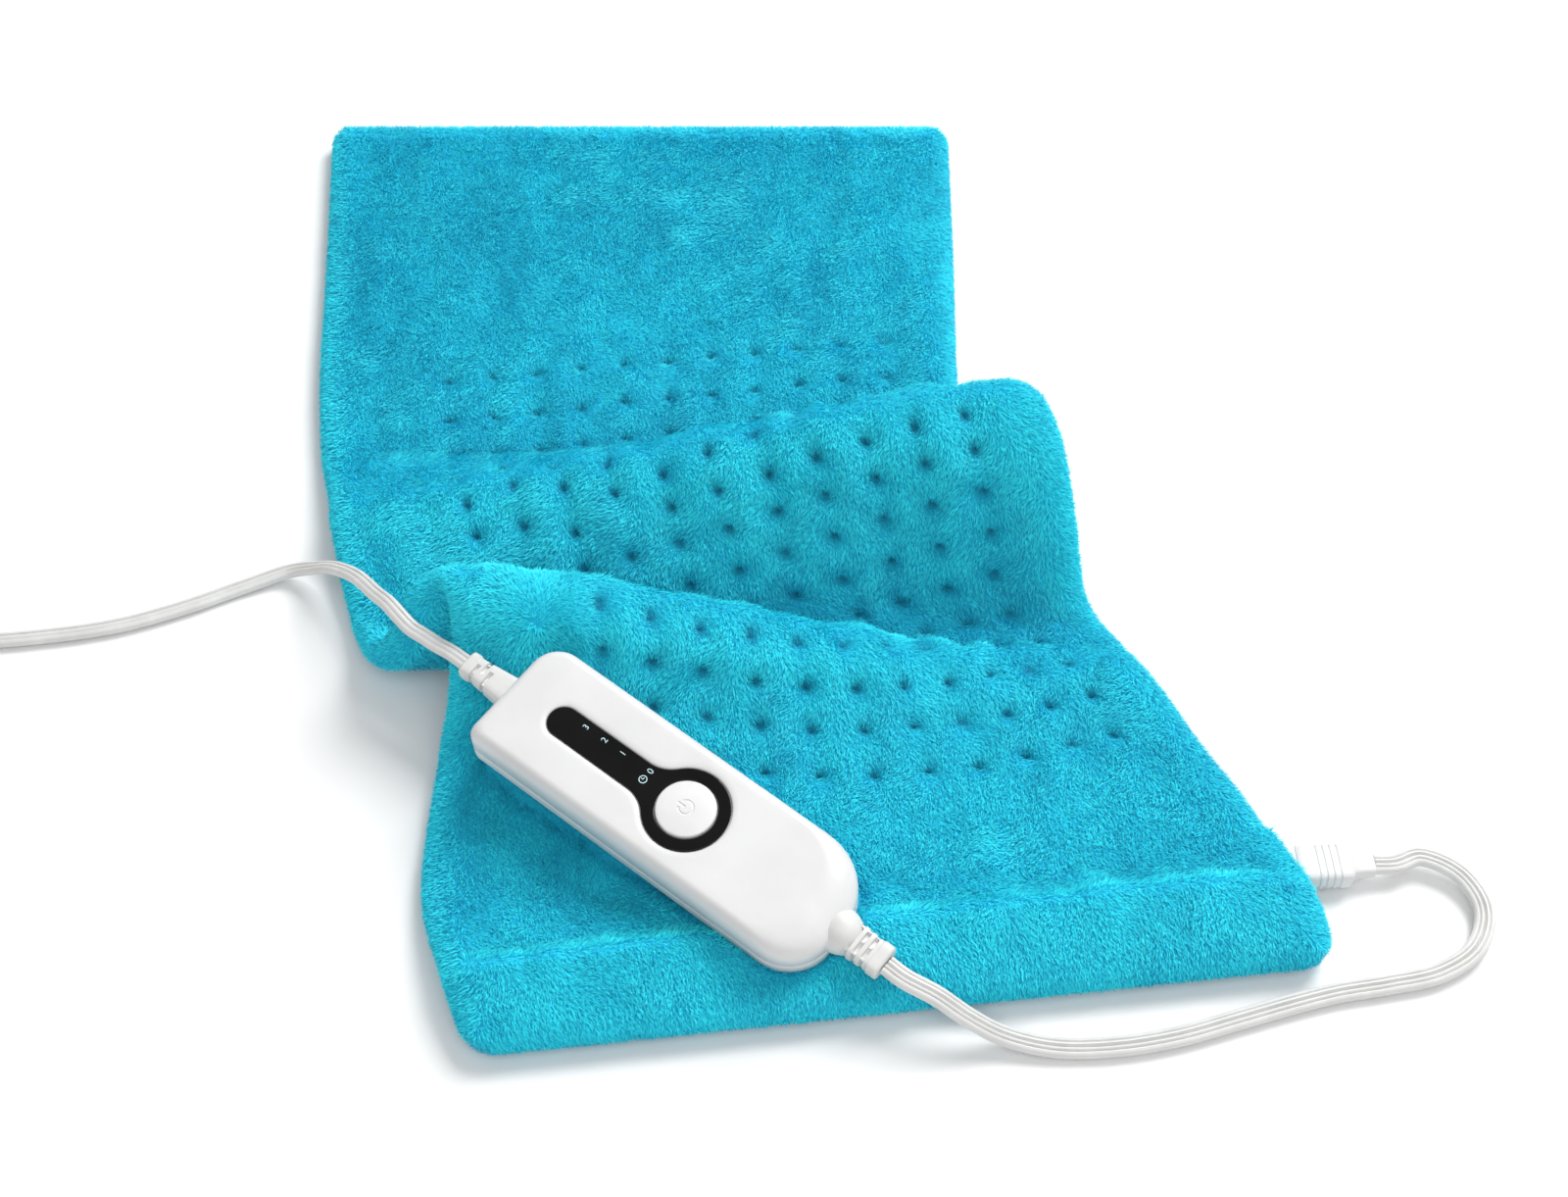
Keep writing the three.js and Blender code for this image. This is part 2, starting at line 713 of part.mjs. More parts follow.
wireTurns.push([wireReturn, wireBack], [wireEnd, wireBack]);

// Each row or column that a stretch of wire crosses gives it a point
function wirePlaces() {
  const places = [wireTurns[0]];
  for (let i = 1; i < wireTurns.length; i += 1) {
    const [across, along] = wireTurns[i - 1];
    const [nextAcross, nextAlong] = wireTurns[i];
    const level = along === nextAlong;
    const lines = level ? innerColumns.map((column) => column.across) : rows.map((row) => row.along);
    const [from, to] = level ? [across, nextAcross] : [along, nextAlong];
    const low = Math.min(from, to) + slopeStep;
    const high = Math.max(from, to) - slopeStep;
    const crossed = lines.filter((x) => x > low && x < high);
    crossed.sort((a, b) => (a - b) * Math.sign(to - from));
    places.push(...crossed.map((x) => (level ? [x, along] : [across, x])), [nextAcross, nextAlong]);
  }
  return places;
}

// A sharp corner of the wire's route is cut across
function cutCorners(places, cut) {
  const spots = places.map(([across, along]) => sheetOffset(across, along, wireLevel));
  const path = [spots[0]];
  const ups = [sheetNormal(...places[0])];
  for (let i = 1; i < spots.length; i += 1) {
    const up = sheetNormal(...places[i]);
    const toBefore = spots[i - 1].clone().sub(spots[i]);
    const toAfter = i < spots.length - 1 ? spots[i + 1].clone().sub(spots[i]) : toBefore.clone().negate();
    if (toBefore.angleTo(toAfter) < Math.PI * 2 / 3) {
      for (const leg of [toBefore, toAfter]) {
        path.push(spots[i].clone().addScaledVector(leg, Math.min(cut / leg.length(), 1 / 2)));
        ups.push(up);
      }
    } else {
      path.push(spots[i]);
      ups.push(up);
    }
  }
  return [path, ups];
}

const [wirePath, wireUps] = cutCorners(wirePlaces(), wireCornerCut);
addPiece(part, 'heating_wire', sweepGeometry(wirePath, wireUps, wireDiameter, wireDiameter, 5), wireJacket);
console.log('heating wire runs', wireRows.length + 1);

// Heat guards lie flat on the carrier in the back section, between two runs of the wire
function addGuard(name, runShare, acrossShare, length, width, height, material) {
  const along = stationAtRun(middleRun, padLength * runShare);
  const seat = sheetOffset(acrossShare, along, carrierTop + touchGap);
  addPiece(part, name, boxGeometry(length, width, height, seat.x, seat.y, seat.z), material);
}

const guardPlaceShares = [[0.12, 0.3], [0.12, 0.7], [0.12, 0.5]];
addGuard('thermostat_left', ...guardPlaceShares[0], thermostatLength, thermostatWidth, thermostatHeight,
  blackResin);
addGuard('thermostat_right', ...guardPlaceShares[1], thermostatLength, thermostatWidth, thermostatHeight,
  blackResin);
addGuard('thermal_fuse', ...guardPlaceShares[2], thermalFuseLength, thermalFuseWidth, thermalFuseHeight,
  steel);

// The controller stands in its own frame: X from the mains end to the lead end, Z up, the origin in
// the middle of its underside. It lies tilted on the pad, and the upper cover gives under it.
const caseUp = new THREE.Vector3(-Math.tan(caseSideTilt), -Math.tan(caseForwardTilt), 1).normalize();
const caseAcross = caseUp.clone().cross(
  new THREE.Vector3(Math.cos(caseHeading), Math.sin(caseHeading), 0)).normalize();
const caseAlong = caseAcross.clone().cross(caseUp);

// A convex outline of the case, drawn in by an inset, at one height
function caseOutline(inset, height) {
  const corners = [
    [1, -1, leadEndRadius, leadCornerSteps], [1, 1, leadEndRadius, leadCornerSteps],
    [-1, 1, mainsEndRadius, mainsCornerSteps], [-1, -1, mainsEndRadius, mainsCornerSteps],
  ];
  return corners.flatMap(([sideX, sideY, fullRadius, steps], corner) => {
    const radius = Math.max(fullRadius - inset, touchGap);
    const x = sideX * (caseLength / 2 - inset - radius);
    const y = sideY * (caseWidth / 2 - inset - radius);
    return Array.from({ length: steps + 1 }, (_, k) => {
      const angle = (corner - 1 + k / steps) * Math.PI / 2;
      return new THREE.Vector3(x + radius * Math.cos(angle), y + radius * Math.sin(angle), height);
    });
  });
}

function caseStack(levels) {
  return solidOf(loftGeometry(levels.map(([inset, height]) => caseOutline(inset, height))));
}

// Levels of a quarter round edge that ends at a height, for a wall drawn in by an inset
function roundedLevels(inset, radius, height, upward, steps) {
  const levels = Array.from({ length: steps + 1 }, (_, k) => {
    const angle = k / steps * Math.PI / 2;
    const fall = radius * (1 - Math.sin(angle));
    return [inset + radius * (1 - Math.cos(angle)), upward ? height - fall : height + fall];
  });
  return upward ? levels : levels.reverse();
}

const footprint = caseOutline(baseEdgeRadius / 2, 0);
const caseBase = new THREE.Vector3(caseCentreX, -caseCentreRun, 0);

function isUnderCase(x, y) {
  return footprint.every((corner, i) => {
    const next = footprint[(i + 1) % footprint.length];
    return (next.x - corner.x) * (y - corner.y) - (next.y - corner.y) * (x - corner.x) >= 0;
  });
}

// The pad's highest place under the case, measured along the case's own upright direction
const seatSamples = 160;
let caseLift = 0;
for (let i = 0; i <= seatSamples; i += 1) {
  for (let j = 0; j <= seatSamples; j += 1) {
    const spot = sheetOffset(i / seatSamples, lastStation * j / seatSamples, halfThickness).sub(caseBase);
    const rise = spot.dot(caseUp);
    if (isUnderCase(spot.dot(caseAlong), spot.dot(caseAcross))) caseLift = Math.max(caseLift, rise);
  }
}
caseLift -= casePress;
const caseSeat = new THREE.Matrix4().makeBasis(caseAlong, caseAcross, caseUp)
  .setPosition(caseBase.clone().addScaledVector(caseUp, caseLift));
controller.applyMatrix4(caseSeat);
console.log('controller origin', new THREE.Vector3().setFromMatrixPosition(caseSeat).toArray()
  .map((value) => value.toFixed(2)).join(' '));
const pressed = solidOf(loftGeometry([...roundedLevels(-touchGap, baseEdgeRadius, -touchGap, false, 2),
  [-touchGap, caseHeight]].map(([inset, height]) => caseOutline(inset, height))).applyMatrix4(caseSeat));
upperCover = upperCover.subtract(pressed);
addPiece(part, 'pad_top_cover', geometryOf(upperCover), plush);
addPiece(part, 'pad_bottom_cover', geometryOf(lowerCover), plush);

// Case screws come up from below through the lower shell into the lid
const screwX = caseLength / 2 - screwInsetLong;
const screwY = caseWidth / 2 - screwInsetWide;
const screwPlaces = [[-screwX, -screwY], [screwX, -screwY], [screwX, screwY], [-screwX, screwY]];
const screwSeat = screwSink + screwHeadHeight + touchGap;
const seamLow = seamHeight - touchGap / 2;
const seamHigh = seamHeight + touchGap / 2;
const lidInside = caseHeight - lidRoof;

let lowerShell = caseStack([...roundedLevels(0, baseEdgeRadius, 0, false, 2), [0, seamLow]]);
lowerShell = lowerShell.subtract(caseStack([[caseWall + baseEdgeRadius / 2, caseFloor],
  [caseWall, caseFloor + baseEdgeRadius / 2], [caseWall, seamHeight + cutOverrun]]));
let lid = caseStack([[0, seamHigh], ...roundedLevels(0, lidEdgeRadius, caseHeight, true, 4)]);
const lidHollow = caseStack([[caseWall, seamHeight - cutOverrun],
  ...roundedLevels(caseWall, lidEdgeRadius - caseWall, lidInside, true, 3)]);
const lidSolid = lid;
lid = lid.subtract(lidHollow);
for (const [x, y] of screwPlaces) {
  lowerShell = lowerShell.add(rodSolid(bossRadius, seamLow - caseFloor / 2, x, y, caseFloor / 2, bossSides));
  lowerShell = lowerShell.subtract(rodSolid(screwHeadRadius + touchGap, screwSeat + cutOverrun, x, y,
    -cutOverrun, bossSides));
  lowerShell = lowerShell.subtract(rodSolid(screwRadius + touchGap, seamHeight + cutOverrun, x, y, 0,
    screwSides));
  const boss = rodSolid(bossRadius, caseHeight - lidRoof / 2 - seamHigh, x, y, seamHigh, bossSides);
  lid = lid.add(boss.intersect(lidSolid));
  lid = lid.subtract(rodSolid(screwRadius + touchGap, screwTop + touchGap - seamHeight + cutOverrun, x, y,
    seamHeight - cutOverrun, screwSides));
}
for (const sideX of [-1, 1]) {
  for (const sideY of [-1, 1]) {
    lowerShell = lowerShell.add(rodSolid(postRadius, boardHeight - touchGap - caseFloor / 2,
      sideX * postX, sideY * postY, caseFloor / 2, 10));
  }
}

// The strain reliefs pass the end walls in a neck between an inner flange and the outer boot
function reliefPieces(end, length, root, tip, droop) {
  const wallOut = caseLength / 2;
  const at = (x) => end * x;
  const neckStart = wallOut - caseWall - 2 * touchGap - reliefFlangeThickness;
  const bootStart = wallOut + touchGap;
  const bend = (x) => -droop * ((x - bootStart) / length) ** 2;
  const slope = (x) => -2 * droop * (x - bootStart) / length ** 2;
  const ring = (x, width, height) => ovalOutline(width, height, 12).map(([across, rise]) => (
    new THREE.Vector3(at(x - slope(x) * rise), end * across, reliefAxisHeight + bend(x) + rise)));
  const bootStops = [0, 1 / 3, 2 / 3, 1];
  const boot = loftGeometry([...bootStops.map((share) => ring(bootStart + length * share,
    THREE.MathUtils.lerp(root, tip, share), THREE.MathUtils.lerp(reliefHeight, reliefTipHeight, share)))]);
  const neckWidth = root - 2 * reliefNeckInset;
  const neckHeight = reliefHeight - 2 * reliefNeckInset;
  const neckBottom = reliefAxisHeight - neckHeight / 2;
  const neckLength = bootStart - neckStart + touchGap;
  let relief = solidOf(boot);
  for (let k = 0; k < reliefSlots; k += 1) {
    const x = bootStart + reliefFirstSlot + reliefSlotPitch * k;
    const ends = (overrun) => [x - overrun, x + reliefSlotWidth + overrun];
    const cut = (grow, overrun) => solidOf(loftGeometry(ends(overrun).map((place) => {
      const share = (place - bootStart) / length;
      return ring(place, THREE.MathUtils.lerp(root, tip, share) + grow,
        THREE.MathUtils.lerp(reliefHeight, reliefTipHeight, share) + grow);
    })));
    relief = relief.subtract(cut(2 * reliefSlotDepth, 0)
      .subtract(cut(-2 * reliefSlotDepth, cutOverrun)));
  }
  relief = relief.add(boxSolid(neckLength, neckWidth, neckHeight, at(neckStart + neckLength / 2), 0,
    neckBottom));
  const flangeWidth = neckWidth + 2 * reliefFlangeLip;
  const flangeHeight = neckHeight + 2 * reliefFlangeLip;
  relief = relief.add(boxSolid(reliefFlangeThickness, flangeWidth, flangeHeight,
    at(neckStart + reliefFlangeThickness / 2), 0, reliefAxisHeight - flangeHeight / 2));
  const opening = boxSolid(caseWall + 2 * cutOverrun, neckWidth + 2 * touchGap, neckHeight + 2 * touchGap,
    at(wallOut - caseWall / 2), 0, neckBottom - touchGap);
  const reach = bootStart + length;
  const leaving = { reach, drop: bend(reach), slope: slope(reach) };
  return { relief, opening, inner: at(neckStart - touchGap), end, leaving };
}

const mainsRelief = reliefPieces(-1, mainsReliefLength, mainsReliefRoot, mainsReliefTip, mainsReliefDroop);
const leadRelief = reliefPieces(1, leadReliefLength, leadReliefRoot, leadReliefTip, leadReliefDroop);
lowerShell = lowerShell.subtract(mainsRelief.opening).subtract(leadRelief.opening);
lid = lid.subtract(mainsRelief.opening).subtract(leadRelief.opening);
addPiece(controller, 'strain_relief_mains', geometryOf(mainsRelief.relief), whiteVinyl);
addPiece(controller, 'strain_relief_lead', geometryOf(leadRelief.relief), whiteVinyl);

// The keyhole outline of the panel: a round narrow end, two fillets and a ring round the button
function keyhole(grow) {
  const filletRise = panelHalfWidth + panelFillet;
  const reach = Math.sqrt((panelRingRadius + panelFillet) ** 2 - filletRise ** 2);
  const filletX = buttonX - reach;
  const turn = Math.atan2(filletRise, reach);
  const shape = new THREE.Shape();
  shape.absarc(panelEndX, 0, panelHalfWidth + grow, Math.PI / 2, Math.PI * 3 / 2, false);
  shape.absarc(filletX, -filletRise, panelFillet - grow, Math.PI / 2, turn, true);
  shape.absarc(buttonX, 0, panelRingRadius + grow, Math.PI + turn, 3 * Math.PI - turn, false);
  shape.absarc(filletX, filletRise, panelFillet - grow, -turn, -Math.PI / 2, true);
  return shape;
}

function keyholeSolid(grow, depth, bottom) {
  const settings = { depth, bevelEnabled: false, curveSegments: 7 };
  const geometry = new THREE.ExtrudeGeometry(keyhole(grow), settings);
  return solidOf(geometry.translate(0, 0, bottom));
}

const panelBottom = caseHeight - panelSink - panelThickness;
const recessFloor = panelBottom - touchGap;
const buttonHoleRadius = buttonRadius + buttonClearance;
lid = lid.subtract(keyholeSolid(0, caseHeight + cutOverrun - recessFloor, recessFloor));
lid = lid.subtract(keyholeSolid(panelRimWidth, cutOverrun + panelRimDepth, caseHeight - panelRimDepth));
lid = lid.subtract(rodSolid(buttonHoleRadius, lidRoof + cutOverrun, buttonX, 0,
  lidInside - cutOverrun / 2, buttonSides));
const ledPlaces = [0, 1, 2].map((k) => numberLedFirstX + k * numberLedPitch);
ledPlaces.push(timerLedX);
for (const x of ledPlaces) {
  lid = lid.subtract(rodSolid(wellRadius, lidRoof, x, 0, lidInside - cutOverrun / 2, wellSides));
}
addPiece(controller, 'controller_lid', geometryOf(lid), whitePlastic);
addPiece(controller, 'controller_base', geometryOf(lowerShell), whitePlastic);
const panel = keyholeSolid(-touchGap, panelThickness, panelBottom)
  .subtract(rodSolid(buttonHoleRadius, panelThickness + 2 * cutOverrun, buttonX, 0,
    panelBottom - cutOverrun, buttonSides));
addPiece(controller, 'display_panel', geometryOf(panel), blackGloss);

// Screws: a low round head on a shaft
screwPlaces.forEach(([x, y], k) => {
  const profile = [
    [0, screwSink], [screwHeadRadius, screwSink], [screwHeadRadius, screwSink + screwHeadHeight],
    [screwRadius, screwSink + screwHeadHeight], [screwRadius, screwTop], [0, screwTop],
  ].map(([r, z]) => new THREE.Vector2(r, z));
  addPiece(controller, `case_screw_${k + 1}`,
    new THREE.LatheGeometry(profile, 10).rotateX(Math.PI / 2).translate(x, y, 0), steel);
});

// Circuit board with its parts
addPiece(controller, 'circuit_board', boxGeometry(boardLength, boardWidth, boardThickness, 0, 0,
  boardHeight), boardGreen);
const partsRest = boardHeight + boardThickness + touchGap;
ledPlaces.forEach((x, k) => addPiece(controller, k < 3 ? `number_led_${3 - k}` : 'timer_led',
  boxGeometry(ledLength, ledWidth, ledHeight, x, 0, partsRest), clearLens));
const guideBottom = partsRest + ledHeight + touchGap;
const guideTop = lidInside - touchGap;
const guideStart = numberLedFirstX - wellRadius - guideWall;
const guideEnd = timerLedX + wellRadius + guideWall;
let guide = boxSolid(guideEnd - guideStart, 2 * (wellRadius + guideWall), guideTop - guideBottom,
  (guideStart + guideEnd) / 2, 0, guideBottom);
for (const x of ledPlaces) {
  guide = guide.subtract(rodSolid(wellRadius, guideTop - guideBottom + 2 * cutOverrun, x, 0,
    guideBottom - cutOverrun, wellSides));
}
addPiece(controller, 'light_guide', geometryOf(guide), blackResin);
addPiece(controller, 'microcontroller', boxGeometry(chipLength, chipWidth, chipHeight, chipX, chipY,
  partsRest), blackResin);
addPiece(controller, 'triac', boxGeometry(triacLength, triacWidth, triacHeight, triacX, triacY,
  partsRest), blackResin);
addPiece(controller, 'film_capacitor', boxGeometry(filmLength, filmWidth, filmHeight, filmX, filmY,
  partsRest), filmYellow);
addPiece(controller, 'electrolytic_capacitor', rodGeometry(canRadius, canHeight, canX, canY,
  partsRest, canSides), steel);
addPiece(controller, 'board_fuse',
  new THREE.CylinderGeometry(fuseRadius, fuseRadius, fuseLength, fuseSides)
    .rotateZ(Math.PI / 2).rotateX(Math.PI / fuseSides)
    .translate(fuseX, fuseY, partsRest + fuseRadius), carrierCloth);

// The push switch, its plunger and the button that moves with it
const switchTop = partsRest + switchHeight;
const plungerBottom = switchTop + plungerShow - plungerHeight;
const plungerTop = switchTop + plungerShow;
const pushSwitch = boxSolid(switchSize, switchSize, switchHeight, buttonX, 0, partsRest)
  .subtract(rodSolid(plungerRadius + touchGap, plungerHeight, buttonX, 0,
    plungerBottom - buttonTravel - touchGap, 10));
addPiece(controller, 'push_switch', geometryOf(pushSwitch), blackResin);
addPiece(controller, 'switch_plunger', rodGeometry(plungerRadius, plungerHeight, buttonX, 0,
  plungerBottom, 10), brass);
const stemBottom = plungerTop + touchGap;
const flangeTop = lidInside - touchGap;
const flangeBottom = flangeTop - buttonFlangeHeight;
const buttonTop = caseHeight + buttonRise;
const capInside = buttonTop - buttonRoof;
const skirtInside = buttonRadius - buttonSkirtWall;
const crown = (share) => [
  share * (buttonRadius - buttonEdge),
  buttonTop + buttonCrown * (1 - share * share),
];
const buttonProfile = [
  [0, stemBottom], [buttonStemRadius, stemBottom], [buttonStemRadius, capInside],
  [skirtInside, capInside], [skirtInside, flangeBottom],
  [buttonRadius + buttonFlangeWidth, flangeBottom], [buttonRadius + buttonFlangeWidth, flangeTop],
  [buttonRadius, flangeTop], [buttonRadius, buttonTop - buttonEdge], crown(1), crown(2 / 3), crown(1 / 3),
  crown(0),
].map(([r, z]) => new THREE.Vector2(r, z));
addPiece(controller, 'power_button', new THREE.LatheGeometry(buttonProfile, buttonSides).rotateX(Math.PI / 2)
  .translate(buttonX, 0, 0), whitePlastic);

// A curve whose frame keeps the section's first direction level
class LevelCurve extends THREE.CatmullRomCurve3 {
  computeFrenetFrames(steps) {
    const frames = { tangents: [], normals: [], binormals: [] };
    for (let i = 0; i <= steps; i += 1) {
      const tangent = this.getTangentAt(i / steps);
      const level = new THREE.Vector3(0, 0, 1).cross(tangent).normalize();
      frames.tangents.push(tangent);
      frames.normals.push(level);
      frames.binormals.push(tangent.clone().cross(level));
    }
    return frames;
  }
}

function cordGeometry(points, width, thickness, sides, steps) {
  const curve = new LevelCurve(points, false, 'centripetal');
  const outline = ovalOutline(width, thickness, sides).map(([x, y]) => new THREE.Vector2(x, y));
  const section = new THREE.Shape(outline);
  console.log('free cord length', curve.getLength().toFixed(0));
  return new THREE.ExtrudeGeometry(section, { steps, extrudePath: curve, curveSegments: 1 });
}

// Inner wires run from each relief's flange down to the board
function addInnerWires(prefix, relief, end, count, pitch, boardInset) {
  for (let k = 0; k < count; k += 1) {
    const y = (k - (count - 1) / 2) * pitch;
    const landing = partsRest + innerWireRadius;
    const x = end * (boardLength / 2 - boardInset);
    const points = [
      new THREE.Vector3(relief.inner, y, reliefAxisHeight + innerWireRadius),
      new THREE.Vector3((2 * relief.inner + x) / 3, y, reliefAxisHeight + innerWireRadius),
      new THREE.Vector3((relief.inner + 2 * x) / 3, y, landing + innerWireRadius / 2),
      new THREE.Vector3(x, y, landing),
    ];
    const up = new THREE.Vector3(0, 0, 1);
    addPiece(controller, `${prefix}_${k + 1}`, sweepGeometry(points, up, 2 * innerWireRadius,
      2 * innerWireRadius, 6), whiteVinyl);
  }
}

addInnerWires('mains_inner_wire', mainsRelief, -1, 2, mainsWirePitch, innerWireLanding);
addInnerWires('lead_inner_wire', leadRelief, 1, 4, leadWirePitch, innerWireLanding);

// Free cords: each leaves its relief straight, and its other points are its route by hand
function reliefExit({ end, leaving }, distance) {
  const height = reliefAxisHeight + leaving.drop + leaving.slope * distance;
  return new THREE.Vector3(end * (leaving.reach + distance), 0, height).applyMatrix4(caseSeat);
}

const route = (points) => points.map(([x, run, z]) => new THREE.Vector3(x, -run, z));
const mainsRoute = [reliefExit(mainsRelief, touchGap), reliefExit(mainsRelief, cordStraight), ...route([
  [-61, 362.5, 42.6], [-66.5, 358.5, 43], [-71.4, 355.3, 43.8], [-76, 351, 45.8], [-81.5, 342.5, 43],
  [-89, 330.5, 35.5], [-100, 314, 27], [-111, 303, 19.5], [-121, 295, 10.5], [-133, 291.5, 4.6],
  [-151, 298, 2.4], [-173, 309, 2.4], [-199, 319, 2.4], [-230, 325, 2.4], [-261, 328, 2.5],
  [-284, 328.9, 3.3], [-300, 329.2, 3.5],
])];
const leadRoute = [reliefExit(leadRelief, touchGap), reliefExit(leadRelief, cordStraight), ...route([
  [124, 502, 19], [136, 507, 12], [148, 510, 5.5], [166, 513, 2.6], [188, 512.5, 2.5], [210, 508.5, 2.5],
  [231, 502, 2.5], [250, 496, 2.5], [268, 491, 2.5], [287, 487.5, 2.6], [306, 483, 2.9], [321, 473, 3.5],
  [327, 457, 4.3], [321, 442, 5.2], [307, 434.6, 6.1],
])];
const connectorMouth = new THREE.Vector3(connectorEnd + touchGap, 0, 0).applyMatrix4(socketSeat);
const connectorLine = new THREE.Vector3(connectorEnd + cordStraight, 0, 0).applyMatrix4(socketSeat);
leadRoute.push(connectorLine, connectorMouth);

// The coil: one steady spiral in and out, four layers high, that climbs a layer in the half turn
// round each reversal, and a straight tail that comes down to the plug beside it
const layerTurns = coilTurns / coilLayers;
const coilSpread = coilPitch * layerTurns / 2;
const coilFloor = tieThickness + tieSlack + mainsThickness / 2;
const coilStart = -Math.PI / 2;

function coilRadius(turn) {
  const layer = Math.min(coilLayers - 1, Math.floor(turn / layerTurns));
  const into = turn - layer * layerTurns;
  const inward = layer % 2 === 0 ? into : layerTurns - into;
  return coilMeanRadius + coilSpread - coilPitch * inward;
}

function coilHeight(turn) {
  let height = coilFloor;
  for (let k = 1; k < coilLayers; k += 1) {
    height += coilLayerPitch * THREE.MathUtils.clamp((turn - k * layerTurns) * 2 + 1 / 2, 0, 1);
  }
  return height;
}

const coilCentre = new THREE.Vector3(coilCentreX, -coilCentreRun, 0);
const coilPath = [];
const coilStepCount = Math.round(coilTurns * coilSteps);
for (let k = 0; k <= coilStepCount; k += 1) {
  const turn = coilTurns * k / coilStepCount;
  const angle = coilStart - 2 * Math.PI * turn;
  coilPath.push(new THREE.Vector3(Math.cos(angle), Math.sin(angle), 0).multiplyScalar(coilRadius(turn))
    .add(coilCentre).setZ(coilHeight(turn)));
}
coilPath.unshift(coilPath[0].clone().add(new THREE.Vector3(cordStraight, 0, 0)));
const plugAxisHeight = plugHeight / 2;
const coilTop = coilPath[coilPath.length - 1];
const tailSteps = 4;
coilPath.push(coilTop.clone().add(new THREE.Vector3(0, coilTail / 2, 0)));
for (let k = 0; k <= tailSteps; k += 1) {
  const share = k / tailSteps;
  coilPath.push(new THREE.Vector3(coilTop.x, coilTop.y + coilTail + coilTailDrop * share,
    THREE.MathUtils.lerp(coilTop.z, plugAxisHeight, smoothStep(share))));
}
coilPath.push(coilPath[coilPath.length - 1].clone().add(new THREE.Vector3(0, cordStraight, 0)));
addPiece(part, 'mains_cord_coil', sweepGeometry(coilPath, new THREE.Vector3(0, 0, 1), mainsWidth,
  mainsThickness, coilSides), whiteVinyl);
mainsRoute.push(coilPath[0].clone().add(new THREE.Vector3(touchGap, 0, 0)));
addPiece(part, 'mains_cord',
  cordGeometry(mainsRoute, mainsWidth, mainsThickness, cordSides, cordSteps), whiteVinyl);
addPiece(part, 'pad_lead',
  cordGeometry(leadRoute, leadWidth, leadThickness, cordSides, cordSteps), whiteVinyl);

// Least gap between turns, measured between the oval sections that lie at the same angle
const section = ovalOutline(mainsWidth, mainsThickness, coilSides);

function sectionGap(offsetX, offsetZ) {
  let least = Infinity;
  for (const [x, z] of section) {
    section.forEach(([ax, az], k) => {
      const [bx, bz] = section[(k + 1) % section.length];
      for (const flip of [1, -1]) {
        const px = flip * (x + offsetX * flip);
        const pz = flip * (z + offsetZ * flip);
        const along = THREE.MathUtils.clamp(((px - ax) * (bx - ax) + (pz - az) * (bz - az))
          / ((bx - ax) ** 2 + (bz - az) ** 2), 0, 1);
        least = Math.min(least, Math.hypot(px - ax - along * (bx - ax), pz - az - along * (bz - az)));
      }
    });
  }
  return least;
}

let leastGap = Infinity;
for (let i = 0; i <= coilStepCount; i += 1) {
  const turn = coilTurns * i / coilStepCount;
  for (let other = turn + 1; other <= coilTurns; other += 1) {
    leastGap = Math.min(leastGap, sectionGap(coilRadius(other) - coilRadius(turn),
      coilHeight(other) - coilHeight(turn)));
  }
}
console.log('coil least self-gap', leastGap.toFixed(2));
let coilLength = 0;
for (let i = 1; i < coilPath.length; i += 1) coilLength += coilPath[i].distanceTo(coilPath[i - 1]);
console.log('coiled cord length', coilLength.toFixed(0));

// The tie is a flat strap closed round the coil's bundle
const bundleWidth = 2 * coilSpread + mainsWidth + 2 * tieSideSlack;
const bundleHeight = coilHeight(coilTurns) + mainsThickness / 2 + tieSlack - tieThickness;
const tieX = coilCentreX + coilMeanRadius;
const strap = boxSolid(bundleWidth + 2 * tieThickness, tieWidth, bundleHeight + 2 * tieThickness,
  tieX, -coilCentreRun, 0).subtract(boxSolid(bundleWidth, tieWidth + 2 * cutOverrun, bundleHeight,
  tieX, -coilCentreRun, tieThickness));
addPiece(part, 'cord_tie', geometryOf(strap), blackResin);

// The plug lies in line with the tail: a tapered tail, a body and two flat blades
const plugGroup = new THREE.Group();
part.add(plugGroup);
const tailEnd = coilPath[coilPath.length - 1];
plugGroup.rotateZ(Math.PI / 2);
plugGroup.position.set(tailEnd.x, tailEnd.y + touchGap, plugAxisHeight);
const plugFace = plugTail + plugLength;
const plugRings = [
  ovalRing(0, plugTailTip, mainsThickness + 2 * plugTailWall, plugSides),
  ovalRing(plugTail, plugTailRoot, plugTailTip, plugSides),
  ovalRing(plugTail + plugShoulder, plugWidth, plugHeight, plugSides),
  ovalRing(plugFace, plugWidth, plugHeight, plugSides),
];
let plugBody = solidOf(loftGeometry(plugRings));
for (const side of [-1, 1]) {
  const y = side * bladeSpacing / 2;
  plugBody = plugBody.subtract(boxSolid(bladeRoot + touchGap + cutOverrun, bladeThickness + 2 * touchGap,
    bladeWidth + 2 * touchGap, plugFace + (cutOverrun - bladeRoot - touchGap) / 2, y,
    -bladeWidth / 2 - touchGap));
  addPiece(plugGroup, side < 0 ? 'plug_blade_left' : 'plug_blade_right',
    boxGeometry(bladeLength + bladeRoot, bladeThickness, bladeWidth,
      plugFace + (bladeLength - bladeRoot) / 2, y, -bladeWidth / 2), brass);
}
addPiece(plugGroup, 'mains_plug', geometryOf(plugBody), whiteVinyl);

